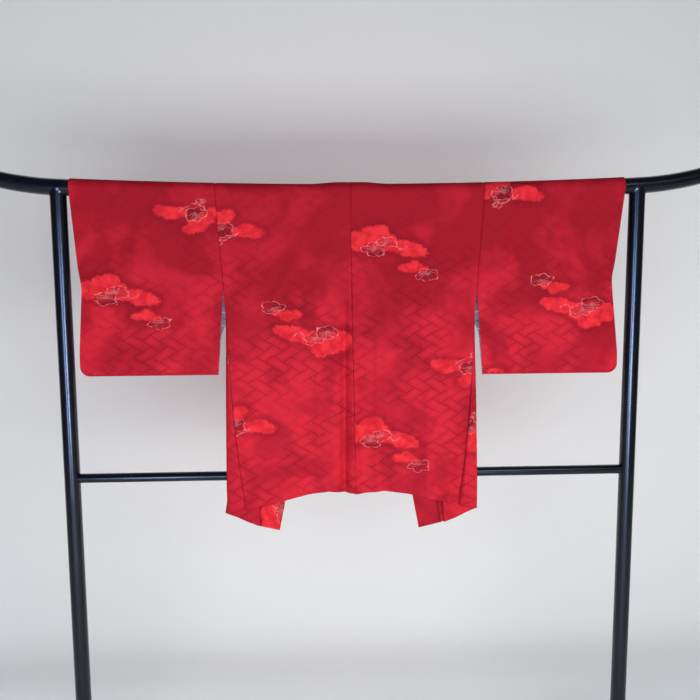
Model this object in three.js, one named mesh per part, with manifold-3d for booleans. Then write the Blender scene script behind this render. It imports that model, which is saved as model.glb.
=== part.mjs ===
// A haori, the short Japanese silk jacket, hung by its shoulders over the top bar of a tubular
// kimono stand. Millimetres, +Z up. X runs along the bar, the jacket's back faces -Y, and the
// origin is on the floor below the middle of the stand.
import * as THREE from "three";
import { mergeVertices } from "three/addons/utils/BufferGeometryUtils.js";
import Module from "manifold-3d";

const wasm = await Module();
wasm.setup();

const GAP = 0.3; // between pieces that touch
const SIDES = { left: -1, right: 1 };

// Stand
const BAR_HEIGHT = 1480; // top bar's centre over the posts
const TUBE_RADIUS = 19;
const BAR_SAG = 15.5; // how far the bar's middle lies below its centre over the posts
const BAR_HALF = 872;
const BAR_UPTURN = 0.00064; // extra rise of the bar's ends, per square millimetre past a post
const POST_X = 668;
const POST_RADIUS = 18.5;
const CROSSBAR_DROP = 680;
const CROSSBAR_RADIUS = 11;
const FOOT_LENGTH = 520;
const PAD_RADIUS = 16;
const PAD_LIFT = 10; // underside of a foot tube above the floor
const PAD_INSET = 34;
const FOOT_Z = TUBE_RADIUS + PAD_LIFT;

// Jacket: levels are measured down from BAR_HEIGHT, and half widths out from the jacket's middle
const WALL = 1.5;
const COLLAR_WALL = 2.4;
const WRAP = TUBE_RADIUS + 0.75 + WALL / 2; // middle of the cloth around the bar
const COLLAR_WRAP = TUBE_RADIUS + 0.9 + COLLAR_WALL / 2;
const SHIFT = -4; // the jacket's middle along the bar
const CENTRE_DRIFT = 9; // how far the centre back seam has swung at the hem
const BAR_LEVEL = 13; // the bar's centre inside the jacket
const ARMHOLE_END = 235;
const GUSSET_TOP = 300;
const SHOULDER_HALF = 309;
const ARMHOLE_HALF = 295.5;
const GUSSET_TOP_HALF = 290.5;
const BACK_HEM_HALF = 250;
const NECK_HALF = 87;
const NECK_LIFT = 4; // the doubled collar raises the neck on the bar
const COLLAR_WIDTH = 55;
const FRONT_WIDTH_TOP = SHOULDER_HALF - NECK_HALF;
const FRONT_WIDTH_HEM = 230;
const FRONT_HEM_LEVEL = 795;
const PLEAT_BEND = 0.024; // half length of a pleat's bend, as a share of the front's width
const PLEAT_MIDDLE = 0.49;

// How much of each front the pleat behind it takes up at the hem.
const PLEAT_SHARE = { left: 0.366, right: 0.334 };

// Level of the back hem at each distance from the centre seam.
const BACK_HEM = [
  { out: 0, level: 719 },
  { out: 65, level: 713 },
  { out: 135, level: 724 },
  { out: 205, level: 738 },
  { out: 250, level: 746 },
];

// Level of a front's hem at each share of its width, from the gusset, round the pleat's two bends
// at about a third and two thirds, to the collar.
const FRONT_HEM = [
  { share: 0, level: 758 },
  { share: 0.31, level: 790 },
  { share: 0.67, level: 762 },
  { share: 1, level: 796 },
];

// How far the back's centre, its side edge and the front's side edge lie behind the bar's axis.
const DEPTHS = [
  { level: BAR_LEVEL, centre: -WRAP, side: -WRAP, front: WRAP },
  { level: ARMHOLE_END, centre: -22, side: -11.5, front: 11.5 },
  { level: GUSSET_TOP, centre: -24, side: -15, front: 4 },
  { level: 655, centre: -33, side: -52, front: -40 },
  { level: 800, centre: -36, side: -56, front: -43.5 },
];

// Sleeve: its edge on the body's side and half the space between its two layers.
const SLEEVE = [
  { level: BAR_LEVEL, inner: SHOULDER_HALF, half: WRAP },
  { level: ARMHOLE_END, inner: ARMHOLE_HALF, half: 11.5 },
  { level: 440, inner: 313, half: 3 },
];
const SLEEVE_FOOT = { left: 435, right: 441 };

// Sleeve's outer edge, which draws in towards the lower end of the hand opening.
const SLEEVE_EDGE = {
  left: [
    { level: BAR_LEVEL, out: 635 },
    { level: 231, out: 621 },
    { level: 405, out: 633 },
  ],
  right: [
    { level: BAR_LEVEL, out: 637 },
    { level: 208, out: 617 },
    { level: 418, out: 638 },
  ],
};
const SLEEVE_CORNER = 22;
const SLEEVE_TURN = 2.5; // height of the rounded fold along the sleeve's foot
const SLEEVE_CLOSE = 60; // width over which the two layers come together at the wrist seam
const SLEEVE_SEAM_HALF = 0.95;

// Outermost edge of the gusset.
const GUSSET_EDGE = [
  { level: GUSSET_TOP, out: 292 },
  { level: 366, out: 293.5 },
  { level: 500, out: 296 },
  { level: 685, out: 297 },
  { level: 758, out: 295 },
];
const GUSSET_FRONT_HALF = 290; // the gusset's seam to the front

// Gusset section at the hem: out is the share from the back seam to the outermost edge.
const GUSSET_SECTION = {
  left: [
    { out: 0.25, y: -57 },
    { out: 0.5, y: -58 },
    { out: 0.96, y: -54 },
    { out: 1, y: -48 },
  ],
  right: [
    { out: 0.1, y: -59 },
    { out: 0.75, y: -60 },
    { out: 0.97, y: -57 },
    { out: 1, y: -49 },
  ],
};

// Largest folds of the back: x and drift place a fold from top to foot, and depth is how far it
// stands out towards -Y at its foot.
const BACK_FOLDS = {
  left: [
    { x: -14, drift: -6, top: 260, foot: 719, half: 13, depth: -6 },
    { x: -92, drift: 2, top: 330, foot: 640, half: 22, depth: -2.5 },
  ],
  right: [
    { x: 10, drift: 4, top: 260, foot: 719, half: 11, depth: 4 },
    { x: 62, drift: -4, top: 260, foot: 719, half: 14, depth: 3 },
    { x: 176, drift: -2, top: 300, foot: 730, half: 14, depth: 3 },
    { x: 270, drift: -20, top: 400, foot: 745, half: 16, depth: -9 },
  ],
};

// Back neck: the free edge of the collar for each angle of the neckline around the bar, from the
// centre seam at the top of the bar to the neck point at the front.
const NECK = [
  { angle: 0, free: 0, drop: 22 },
  { angle: 14, free: 26, drop: 24 },
  { angle: 32, free: 36, drop: 27 },
  { angle: 52, free: 43, drop: 31 },
  { angle: 72, free: 47, drop: 35 },
  { angle: 90, free: 49.5, drop: 40 },
];

// Rows of the hanging cloth: 0 at the bar, 1 at the armhole's end, 2 at the gusset's top, 3 at the hem.
const UPPER_ROWS = [0.25, 0.5, 0.75, 1, 1.5, 2];
const LOWER_STEPS = 8;
const LOWER_ROWS = Array.from({ length: LOWER_STEPS }, (_, i) => 2 + (i + 1) / LOWER_STEPS);
const HANG_ROWS = [...UPPER_ROWS, ...LOWER_ROWS];
const SLEEVE_ROWS = [0.25, 0.5, 0.75, 1, 1.25, 1.5, 1.75, 2];
const BACK_ANGLES = [-90, -67.5, -45, -22.5];
const BAR_ANGLES = [...BACK_ANGLES, ...NECK.map((row) => row.angle)];

// Columns of a panel from its side edge, 0, to the centre or the collar, 1.
const BACK_COLUMNS = [0, 0.03, 0.06, 0.1, 0.17, 0.25, 0.33, 0.4, 0.48, 0.56, 0.64, 0.72, 0.8, 0.87,
  0.93, 0.965, 1];
const SLEEVE_COLUMNS = [0, 0.1, 0.2, 0.3, 0.4, 0.5, 0.6, 0.7, 0.8, 0.87, 0.934, 0.967, 0.989, 1];
const COLLAR_COLUMNS = [0, 0.12, 0.24, 0.36, 0.48, 0.6, 0.8, 1];

const CLOTH = new THREE.MeshStandardMaterial({ color: 0xb3202e, roughness: 0.75, metalness: 0 });
const PAINT = new THREE.MeshStandardMaterial({ color: 0x0b0d12, roughness: 0.2, metalness: 0 });
const RUBBER = new THREE.MeshStandardMaterial({ color: 0x161616, roughness: 0.8, metalness: 0 });

function mix(from, to, share) {
  return from + (to - from) * share;
}

function smooth(low, high, value) {
  const share = Math.min(1, Math.max(0, (value - low) / (high - low)));
  return share * share * (3 - 2 * share);
}

// Reads one column of a table at a place between its rows.
function lookup(table, key, column, at) {
  const after = table.findIndex((row) => row[key] > at);
  if (after === 0) return table[0][column];
  if (after < 0) return table[table.length - 1][column];
  const low = table[after - 1];
  const high = table[after];
  return mix(low[column], high[column], (at - low[key]) / (high[key] - low[key]));
}

function barHeight(x) {
  const past = Math.max(0, Math.abs(x) - POST_X);
  return BAR_HEIGHT - BAR_SAG * (1 - (x / POST_X) ** 2) + BAR_UPTURN * past ** 2;
}

// Height of a row of cloth that hangs from the bar at x and ends at a foot level.
function rowHeight(x, row, levels) {
  const heights = [barHeight(x), ...levels.map((level) => BAR_HEIGHT - level)];
  const step = Math.min(heights.length - 2, Math.floor(row));
  return mix(heights[step], heights[step + 1], row - step);
}

function bodyLevel(row, foot) {
  const levels = [BAR_LEVEL, ARMHOLE_END, GUSSET_TOP, foot];
  const step = Math.min(2, Math.floor(row));
  return mix(levels[step], levels[step + 1], row - step);
}

// A point of cloth on the bar: angle 0 is the top, -90 the back and 90 the front.
function onBar(x, angle, radius) {
  const turn = THREE.MathUtils.degToRad(angle);
  const raised = NECK_LIFT * (1 - smooth(30, 85, Math.abs(x - SHIFT))) * Math.max(0, Math.cos(turn));
  const reach = radius + raised;
  return new THREE.Vector3(x, reach * Math.sin(turn), barHeight(x) + reach * Math.cos(turn));
}

function centreSeam(level) {
  return SHIFT + CENTRE_DRIFT * (Math.max(0, level) / BACK_HEM[0].level) ** 2;
}

// Half width of a panel's side edge, which leaves the armhole and runs down the gusset's seam.
function sideHalf(row, hemHalf, curve) {
  if (row <= 1) return mix(SHOULDER_HALF, ARMHOLE_HALF, Math.max(0, row));
  if (row <= 2) return mix(ARMHOLE_HALF, GUSSET_TOP_HALF, row - 1);
  const down = row - 2;
  return mix(GUSSET_TOP_HALF, hemHalf, (1 - curve) * down + curve * down * down);
}

function backFold(side, x, level) {
  const out = BACK_FOLDS[side].reduce((sum, fold) => {
    const down = smooth(fold.top, fold.foot, level);
    const reach = (x - SHIFT - fold.x - fold.drift * down) / fold.half;
    return sum + fold.depth * down * Math.exp(-reach * reach);
  }, 0);
  return -out;
}

function backPoint(side, column, row) {
  const half = sideHalf(row, BACK_HEM_HALF, 0.55);
  const nominal = bodyLevel(row, BACK_HEM[0].level);
  const edge = SHIFT + SIDES[side] * (half - GAP / 2);
  const x = mix(edge, centreSeam(nominal) + (SIDES[side] * GAP) / 2, column);
  const foot = lookup(BACK_HEM, "out", "level", Math.abs(x - centreSeam(nominal)));
  const z = rowHeight(x, row, [ARMHOLE_END, GUSSET_TOP, foot]);
  const level = BAR_HEIGHT - z;
  const towardsSide = (Math.abs(x - SHIFT) / half) ** 3;
  const centre = lookup(DEPTHS, "level", "centre", level);
  const flat = mix(centre, lookup(DEPTHS, "level", "side", level), towardsSide);
  return new THREE.Vector3(x, flat + backFold(side, x, level), z);
}

// The pleat behind a front: how much cloth it takes at a row, and how far its middle layer turns.
function pleat(side, row) {
  const down = (bodyLevel(row, FRONT_HEM_LEVEL) - BAR_LEVEL) / (FRONT_HEM_LEVEL - BAR_LEVEL);
  const taken = 2 * PLEAT_SHARE[side] * down;
  const layer = PLEAT_SHARE[side] * down + 2.1 * PLEAT_BEND * (1 - down) ** 2;
  return { down, layer, turn: Math.acos(Math.max(-0.995, 1 - taken / layer)) };
}

// Columns of a front, crowded into the pleat's two bends.
function frontColumns(layer) {
  const first = PLEAT_MIDDLE - layer / 2;
  const second = PLEAT_MIDDLE + layer / 2;
  const bend = [-1, -0.5, 0, 0.5, 1].map((share) => share * PLEAT_BEND);
  const before = [0, 1 / 3, 2 / 3].map((share) => share * (first - PLEAT_BEND));
  const after = [1 / 3, 2 / 3, 1].map((share) => mix(second + PLEAT_BEND, 1, share));
  return [
    ...before,
    ...bend.map((share) => first + share),
    PLEAT_MIDDLE,
    ...bend.map((share) => second + share),
    ...after,
  ];
}

// One row of a front, from its side edge through the pleat to the collar seam.
function frontRow(side, row) {
  const { down, layer, turn } = pleat(side, row);
  const columns = frontColumns(layer);
  const width = mix(FRONT_WIDTH_TOP, FRONT_WIDTH_HEM, down);
  const level = bodyLevel(row, FRONT_HEM[0].level);
  let half = sideHalf(row, GUSSET_FRONT_HALF, 0) - GAP / 2;
  let y = lookup(DEPTHS, "level", "front", level);
  return columns.map((column, index) => {
    if (index > 0) {
      const middle = (column + columns[index - 1]) / 2;
      const from = PLEAT_MIDDLE - layer / 2;
      const to = PLEAT_MIDDLE + layer / 2;
      const into = (middle - from) / (2 * PLEAT_BEND) + 0.5;
      const outOf = (to - middle) / (2 * PLEAT_BEND) + 0.5;
      const angle = turn * Math.min(1, Math.max(0, Math.min(into, outOf)));
      const step = (column - columns[index - 1]) * width;
      half -= step * Math.cos(angle);
      y += step * Math.sin(angle);
    }
    const x = SHIFT + SIDES[side] * half;
    const foot = lookup(FRONT_HEM, "share", "level", column);
    return new THREE.Vector3(x, y, rowHeight(x, row, [ARMHOLE_END, GUSSET_TOP, foot]));
  });
}

// Half width of the neckline where it crosses the bar at an angle.
function neckHalf(angle) {
  if (angle < 0) return 0;
  return NECK_HALF * Math.sqrt(1 - ((90 - angle) / 90) ** 2);
}

function barRow(side, angle) {
  const atFront = frontColumns(pleat(side, 0).layer);
  const share = (angle + 90) / 180;
  const edge = SHIFT + SIDES[side] * (SHOULDER_HALF - GAP / 2);
  const inner = SHIFT + SIDES[side] * Math.max(GAP / 2, neckHalf(angle));
  return BACK_COLUMNS.map((column, index) => {
    const across = mix(column, atFront[index], share);
    return onBar(mix(edge, inner, across), angle, WRAP);
  });
}

// A panel runs from the back hem over the bar to the front hem.
function bodyRows(side) {
  const back = [...HANG_ROWS].reverse().map((row) => {
    return BACK_COLUMNS.map((column) => backPoint(side, column, row));
  });
  const over = BAR_ANGLES.map((angle) => barRow(side, angle));
  const front = HANG_ROWS.map((row) => frontRow(side, row));
  return [...back, ...over, ...front];
}

function sleeveFoot(side, toEdge) {
  const across = Math.max(0, SLEEVE_CORNER - toEdge);
  return SLEEVE_FOOT[side] - SLEEVE_CORNER + Math.sqrt(SLEEVE_CORNER ** 2 - across ** 2);
}

// A point of the sleeve's layer that faces -Y, face -1, or +Y, face 1.
function sleevePoint(side, column, row, face) {
  const upper = mix(BAR_LEVEL, ARMHOLE_END, row);
  const nominal = row <= 1 ? upper : mix(ARMHOLE_END, SLEEVE_FOOT[side], row - 1);
  const inner = lookup(SLEEVE, "level", "inner", nominal) + GAP / 2;
  const outer = lookup(SLEEVE_EDGE[side], "level", "out", nominal);
  const x = SHIFT + SIDES[side] * mix(inner, outer, column);
  const toEdge = (1 - column) * (outer - inner);
  const z = rowHeight(x, row, [ARMHOLE_END, sleeveFoot(side, toEdge) - SLEEVE_TURN]);
  const closed = row >= 1 ? 1 - smooth(0, SLEEVE_CLOSE, toEdge) : 0;
  const half = mix(lookup(SLEEVE, "level", "half", nominal), SLEEVE_SEAM_HALF, closed);
  return new THREE.Vector3(x, face * half, z);
}

// Each row of the sleeve is one line along the arm; the rows go up the back layer, over the bar,
// down the front layer and close at the foot.
function sleeveRows(side) {
  const layer = (face) => SLEEVE_ROWS.map((row) => {
    return SLEEVE_COLUMNS.map((column) => sleevePoint(side, column, row, face));
  });
  const over = BAR_ANGLES.map((angle) => SLEEVE_COLUMNS.map((column) => {
    const half = mix(SHOULDER_HALF + GAP / 2, SLEEVE_EDGE[side][0].out, column);
    return onBar(SHIFT + SIDES[side] * half, angle, WRAP);
  }));
  const foot = SLEEVE_COLUMNS.map((column) => {
    const end = sleevePoint(side, column, 2, 1);
    return new THREE.Vector3(end.x, 0, end.z - SLEEVE_TURN);
  });
  return [...layer(-1).reverse(), ...over, ...layer(1), foot];
}

// The end of a strip sewn to a panel's edge: pulled back further where the seam turns a corner,
// so that the two walls stay clear.
function seamEnd(panelInside, edge, stripInside) {
  const onto = stripInside.clone().sub(edge);
  const turn = edge.clone().sub(panelInside).angleTo(onto);
  return edge.clone().add(onto.setLength(GAP + 0.9 * WALL * Math.tan(turn / 2)));
}

function gussetRow(side, row) {
  const back = backPoint(side, 0, row);
  const [front, frontInside] = frontRow(side, row);
  const section = GUSSET_SECTION[side];
  const outer = SHIFT + SIDES[side] * lookup(GUSSET_EDGE, "level", "out", BAR_HEIGHT - back.z);
  const inside = section.map((point, index) => {
    const share = (index + 1) / (section.length + 1);
    const x = mix(back.x, outer, mix(share, point.out, row - 2));
    const y = mix(mix(back.y, front.y, share), point.y, (row - 2) ** 2);
    return new THREE.Vector3(x, y, mix(back.z, front.z, share));
  });
  const first = seamEnd(backPoint(side, BACK_COLUMNS[1], row), back, inside[0]);
  const last = seamEnd(frontInside, front, inside[inside.length - 1]);
  return [first, ...inside, last];
}

// One section of the collar at a row of the front: it leaves the front's edge and lies inwards.
function collarSection(side, row) {
  const edges = frontRow(side, row);
  const seam = edges[edges.length - 1];
  const tilt = THREE.MathUtils.degToRad(14 + 33 * Math.exp(-row / 0.3));
  const inwards = new THREE.Vector3(-SIDES[side] * Math.cos(tilt), 0.03, -Math.sin(tilt)).normalize();
  return COLLAR_COLUMNS.map((column) => {
    return seam.clone().addScaledVector(inwards, mix(GAP * 2, COLLAR_WIDTH, column));
  });
}

// One section of the collar at the neck, unrolled from the neckline down the front of the bar.
function neckSection(side, { angle, free, drop }) {
  const quarter = (COLLAR_WRAP * Math.PI) / 2;
  const seamPath = THREE.MathUtils.degToRad(angle) * COLLAR_WRAP;
  const seamHalf = neckHalf(angle);
  const length = Math.hypot(seamHalf - free, quarter + drop - seamPath);
  return COLLAR_COLUMNS.map((column) => {
    const share = mix((GAP * 2) / length, 1, column);
    const x = SHIFT + SIDES[side] * mix(seamHalf, free, share);
    const path = mix(seamPath, quarter + drop, share);
    if (path < quarter) return onBar(x, (90 * path) / quarter, COLLAR_WRAP);
    return new THREE.Vector3(x, COLLAR_WRAP, barHeight(x) - (path - quarter));
  });
}

function collarRows() {
  const half = (side) => [
    ...NECK.slice(1).map((row) => neckSection(side, row)),
    ...HANG_ROWS.map((row) => collarSection(side, row)),
  ];
  return [...half("left").reverse(), neckSection("right", NECK[0]), ...half("right")];
}

// A normal at each point of a grid of rows; a closed grid joins its last row to its first.
function gridNormals(rows, closed) {
  const last = rows.length - 1;
  return rows.map((row, i) => row.map((_, j) => {
    const before = i > 0 ? rows[i - 1][j] : closed ? rows[last][j] : row[j];
    const after = i < last ? rows[i + 1][j] : closed ? rows[0][j] : row[j];
    const along = after.clone().sub(before);
    const across = row[Math.min(j + 1, row.length - 1)].clone().sub(row[Math.max(j - 1, 0)]);
    return along.cross(across).normalize();
  }));
}

function signedVolume(positions, triangles) {
  const corner = (index) => new THREE.Vector3().fromArray(positions, 3 * index);
  let sum = 0;
  for (let t = 0; t < triangles.length; t += 3) {
    const [a, b, c] = [0, 1, 2].map((k) => corner(triangles[t + k]));
    sum += a.dot(b.cross(c));
  }
  return sum / 6;
}

// A wall of cloth of even thickness about a grid of rows: two faces and a rim along each open edge.
function clothWall(rows, thickness, closed = false) {
  const normals = gridNormals(rows, closed);
  const rowCount = rows.length;
  const columnCount = rows[0].length;
  const positions = [];
  for (const face of [0.5, -0.5]) {
    rows.forEach((row, i) => row.forEach((point, j) => {
      positions.push(...point.clone().addScaledVector(normals[i][j], face * thickness).toArray());
    }));
  }
  const layer = rowCount * columnCount;
  const at = (i, j, face) => face * layer + (i % rowCount) * columnCount + j;
  const triangles = [];
  const quad = (a, b, c, d) => triangles.push(a, b, c, a, c, d);
  const rowSteps = closed ? rowCount : rowCount - 1;
  for (let i = 0; i < rowSteps; i++) {
    for (let j = 0; j < columnCount - 1; j++) {
      quad(at(i, j, 0), at(i + 1, j, 0), at(i + 1, j + 1, 0), at(i, j + 1, 0));
      quad(at(i, j, 1), at(i, j + 1, 1), at(i + 1, j + 1, 1), at(i + 1, j, 1));
    }
    const end = columnCount - 1;
    quad(at(i, 0, 1), at(i + 1, 0, 1), at(i + 1, 0, 0), at(i, 0, 0));
    quad(at(i, end, 0), at(i + 1, end, 0), at(i + 1, end, 1), at(i, end, 1));
  }
  for (let j = 0; j < columnCount - 1 && !closed; j++) {
    const end = rowCount - 1;
    quad(at(0, j, 0), at(0, j + 1, 0), at(0, j + 1, 1), at(0, j, 1));
    quad(at(end, j, 1), at(end, j + 1, 1), at(end, j + 1, 0), at(end, j, 0));
  }
  if (signedVolume(positions, triangles) < 0) triangles.reverse();
  const geometry = new THREE.BufferGeometry();
  geometry.setAttribute("position", new THREE.Float32BufferAttribute(positions, 3));
  geometry.setIndex(triangles);
  geometry.computeVertexNormals();
  return geometry;
}

class BarCurve extends THREE.Curve {
  getPoint(share, target = new THREE.Vector3()) {
    const x = mix(-BAR_HALF, BAR_HALF, share);
    return target.set(x, 0, barHeight(x));
  }
}

function barGeometry(radius) {
  const section = new THREE.Shape().absarc(0, 0, radius, 0, 2 * Math.PI, false);
  return new THREE.ExtrudeGeometry(section, {
    steps: 30,
    curveSegments: 10,
    extrudePath: new BarCurve(),
  });
}

// A tube along Z from one height to another.
function tubeGeometry(radius, from, to, sides = 24) {
  return new THREE.CylinderGeometry(radius, radius, to - from, sides)
    .rotateX(Math.PI / 2)
    .translate(0, 0, (from + to) / 2);
}

// A tube along Y with rounded ends.
function footGeometry(radius, length) {
  const round = [90, 60, 30, 0].map((angle) => {
    const turn = THREE.MathUtils.degToRad(angle);
    return new THREE.Vector2(radius * Math.cos(turn), length / 2 - radius + radius * Math.sin(turn));
  });
  round[0].x = 0;
  const mirrored = round.map((point) => new THREE.Vector2(point.x, -point.y));
  return new THREE.LatheGeometry([...mirrored, ...round.reverse()], 24);
}

function plugGeometry() {
  const profile = [new THREE.Vector2(0, 0), new THREE.Vector2(TUBE_RADIUS, 0)];
  for (const angle of [30, 55, 75, 90]) {
    const turn = THREE.MathUtils.degToRad(angle);
    profile.push(new THREE.Vector2(TUBE_RADIUS * Math.cos(turn), 12 * Math.sin(turn)));
  }
  profile[profile.length - 1].x = 0;
  return new THREE.LatheGeometry(profile, 20);
}

function toSolid(geometry) {
  const bare = geometry.clone();
  bare.deleteAttribute("normal");
  bare.deleteAttribute("uv");
  const merged = mergeVertices(bare, 1e-3);
  return new wasm.Manifold(new wasm.Mesh({
    numProp: 3,
    vertProperties: merged.attributes.position.array,
    triVerts: new Uint32Array(merged.index.array),
  }));
}

function toGeometry(solid) {
  const { vertProperties, triVerts } = solid.getMesh();
  const geometry = new THREE.BufferGeometry();
  geometry.setAttribute("position", new THREE.BufferAttribute(vertProperties, 3));
  geometry.setIndex(new THREE.BufferAttribute(triVerts, 1));
  return geometry;
}

function cut(geometry, ...tools) {
  return toGeometry(tools.reduce((rest, tool) => rest.subtract(toSolid(tool)), toSolid(geometry)));
}

function addMesh(group, name, geometry, material) {
  const mesh = new THREE.Mesh(geometry, material);
  mesh.name = name;
  group.add(mesh);
  return mesh;
}

const stand = new THREE.Group();
const barRoom = barGeometry(TUBE_RADIUS + GAP);
addMesh(stand, "top_bar", barGeometry(TUBE_RADIUS), PAINT);

for (const [side, sign] of Object.entries(SIDES)) {
  const x = sign * POST_X;
  const post = tubeGeometry(POST_RADIUS, FOOT_Z + 5, BAR_HEIGHT - 5).translate(x, 0, 0);
  const footRoom = footGeometry(TUBE_RADIUS + GAP, FOOT_LENGTH).translate(x, 0, FOOT_Z);
  addMesh(stand, `post_${side}`, cut(post, barRoom, footRoom), PAINT);

  const foot = addMesh(stand, `foot_${side}`, footGeometry(TUBE_RADIUS, FOOT_LENGTH), PAINT);
  foot.position.set(x, 0, FOOT_Z);

  for (const [end, towards] of Object.entries({ back: -1, front: 1 })) {
    const y = towards * (FOOT_LENGTH / 2 - PAD_INSET);
    const pad = tubeGeometry(PAD_RADIUS, 0, PAD_LIFT + 7, 24).translate(x, y, 0);
    addMesh(stand, `pad_${side}_${end}`, cut(pad, footRoom), RUBBER);
  }

  const slope = barHeight(BAR_HALF) - barHeight(BAR_HALF - 1);
  const plug = addMesh(stand, `bar_plug_${side}`, plugGeometry(), PAINT);
  plug.position.set(sign * (BAR_HALF + GAP), 0, barHeight(BAR_HALF) + GAP * slope);
  plug.rotation.z = -sign * (Math.PI / 2);
  plug.rotation.y = -sign * Math.atan(slope);
  plug.rotation.order = "YZX";
}

const postRooms = Object.values(SIDES).map((sign) => {
  return tubeGeometry(POST_RADIUS + GAP, 0, BAR_HEIGHT).translate(sign * POST_X, 0, 0);
});
const crossbar = tubeGeometry(CROSSBAR_RADIUS, -POST_X + 12, POST_X - 12, 18).rotateY(Math.PI / 2);
crossbar.translate(0, 0, BAR_HEIGHT - CROSSBAR_DROP);
addMesh(stand, "crossbar", cut(crossbar, ...postRooms), PAINT);

const haori = new THREE.Group();
for (const side of Object.keys(SIDES)) {
  const gussetRows = [2, ...LOWER_ROWS].map((row) => gussetRow(side, row));
  addMesh(haori, `body_${side}`, clothWall(bodyRows(side), WALL), CLOTH);
  addMesh(haori, `sleeve_${side}`, clothWall(sleeveRows(side), WALL, true), CLOTH);
  addMesh(haori, `gusset_${side}`, clothWall(gussetRows, WALL), CLOTH);
}
addMesh(haori, "collar", clothWall(collarRows(), COLLAR_WALL), CLOTH);

const group = new THREE.Group();
group.add(stand, haori);

export default group;
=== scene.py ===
import math
from functools import partial

import bmesh
import bpy
import numpy as np
from mathutils import Matrix, Vector


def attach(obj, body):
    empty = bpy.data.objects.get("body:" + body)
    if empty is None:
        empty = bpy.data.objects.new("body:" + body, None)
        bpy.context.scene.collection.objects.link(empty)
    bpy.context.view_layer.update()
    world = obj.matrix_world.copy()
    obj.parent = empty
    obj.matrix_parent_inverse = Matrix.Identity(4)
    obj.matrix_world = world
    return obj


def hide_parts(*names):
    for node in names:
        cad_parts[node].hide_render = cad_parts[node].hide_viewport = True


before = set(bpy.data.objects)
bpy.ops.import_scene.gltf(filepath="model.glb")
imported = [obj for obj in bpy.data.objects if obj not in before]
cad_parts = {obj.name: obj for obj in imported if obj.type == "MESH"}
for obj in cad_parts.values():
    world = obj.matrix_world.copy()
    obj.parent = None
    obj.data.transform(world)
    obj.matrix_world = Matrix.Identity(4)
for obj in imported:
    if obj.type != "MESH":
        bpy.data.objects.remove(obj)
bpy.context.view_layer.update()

# ------------------------------------------------------------------------------------------------
# Camera: a standing viewer's eye, 1.9 m behind the jacket's back and a little left of its middle,
# looking slightly down and to the right.
EYE = (-0.083, -1.873, 1.336)
LOOK_DOWN, LOOK_RIGHT, LEAN = (math.radians(angle) for angle in (7.17, 2.34, -0.35))
LENS_LENGTH = 41.14

ahead = Vector(
    (
        math.sin(LOOK_RIGHT) * math.cos(LOOK_DOWN),
        math.cos(LOOK_RIGHT) * math.cos(LOOK_DOWN),
        -math.sin(LOOK_DOWN),
    )
)
level_right = Vector((math.cos(LOOK_RIGHT), -math.sin(LOOK_RIGHT), 0.0))
level_up = level_right.cross(ahead)
right = math.cos(LEAN) * level_right + math.sin(LEAN) * level_up
up = -math.sin(LEAN) * level_right + math.cos(LEAN) * level_up
camera = bpy.data.objects.new("camera", bpy.data.cameras.new("camera"))
camera.data.lens = LENS_LENGTH
camera.data.sensor_width = 36.0
camera.matrix_world = Matrix.Translation(EYE) @ Matrix((right, up, -ahead)).transposed().to_4x4()
bpy.context.scene.collection.objects.link(camera)
bpy.context.scene.camera = camera

# ------------------------------------------------------------------------------------------------
# Stand paint: stove enamel on steel tube, sprayed and baked. It gives a deep black with sharp
# highlights that waver a little, because the coat has a faint orange peel about 4 mm across.


def hex_colour(code):
    """An sRGB hex colour as linear RGBA."""
    parts = [int(code[i : i + 2], 16) / 255 for i in (1, 3, 5)]
    return [p / 12.92 if p <= 0.04045 else ((p + 0.055) / 1.055) ** 2.4 for p in parts] + [1.0]


def add_node(tree, kind, inputs=(), **settings):
    """A node with its settings, and its inputs in order or by name. An input is a value, another node's
    output, or another node, which stands for its first output in use."""
    node = tree.nodes.new(f"ShaderNode{kind}")
    for name, value in settings.items():
        setattr(node, name, value)
    in_use = [socket for socket in node.inputs if socket.enabled]
    for key, value in inputs.items() if isinstance(inputs, dict) else enumerate(inputs):
        socket = node.inputs[key] if isinstance(key, str) else in_use[key]
        if isinstance(value, bpy.types.Node):
            value = next(output for output in value.outputs if output.enabled)
        if isinstance(value, bpy.types.NodeSocket):
            tree.links.new(value, socket)
        else:
            socket.default_value = value
    return node


def new_material(name):
    """A material with an empty node tree, and the function that adds a node to that tree."""
    material = bpy.data.materials.new(name)
    material.use_nodes = True
    material.node_tree.nodes.clear()
    return material, partial(add_node, material.node_tree)


stove_enamel, add = new_material("stove_enamel_black")
place = add("TexCoord").outputs["Object"]
peel = add("TexNoise", {"Vector": place, "Scale": 250.0, "Detail": 1.0})
dust = add("TexNoise", {"Vector": place, "Scale": 9.0, "Detail": 5.0, "Roughness": 0.6})
enamel = {
    "Base Color": add("Mix", [dust, hex_colour("#05070C"), hex_colour("#0A0E18")], data_type="RGBA"),
    "Roughness": add("MapRange", [dust, 0.35, 0.75, 0.2, 0.3]),
    "Specular IOR Level": 0.35,
    "Coat Weight": 0.3,
    "Coat Roughness": 0.16,
    "Normal": add("Bump", {"Height": peel, "Strength": 0.05, "Distance": 0.0004}),
}
add("OutputMaterial", [add("BsdfPrincipled", enamel)])

# ------------------------------------------------------------------------------------------------
# Top bar: 38 mm steel tube, bent so that its middle sags a little between the posts and its ends
# turn up past them, with a domed plastic plug pressed into each end.
MM = 0.001
BAR_HEIGHT = 1480.0
TUBE_RADIUS = 19.0
BAR_SAG = 15.5
BAR_HALF = 872.0
BAR_UPTURN = 0.00064
POST_X = 668.0
BAR_STEPS = 110
PLUG_DOME = 12.0
GAP = 0.3  # between pieces that touch
SIDES = {"left": -1.0, "right": 1.0}


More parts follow.
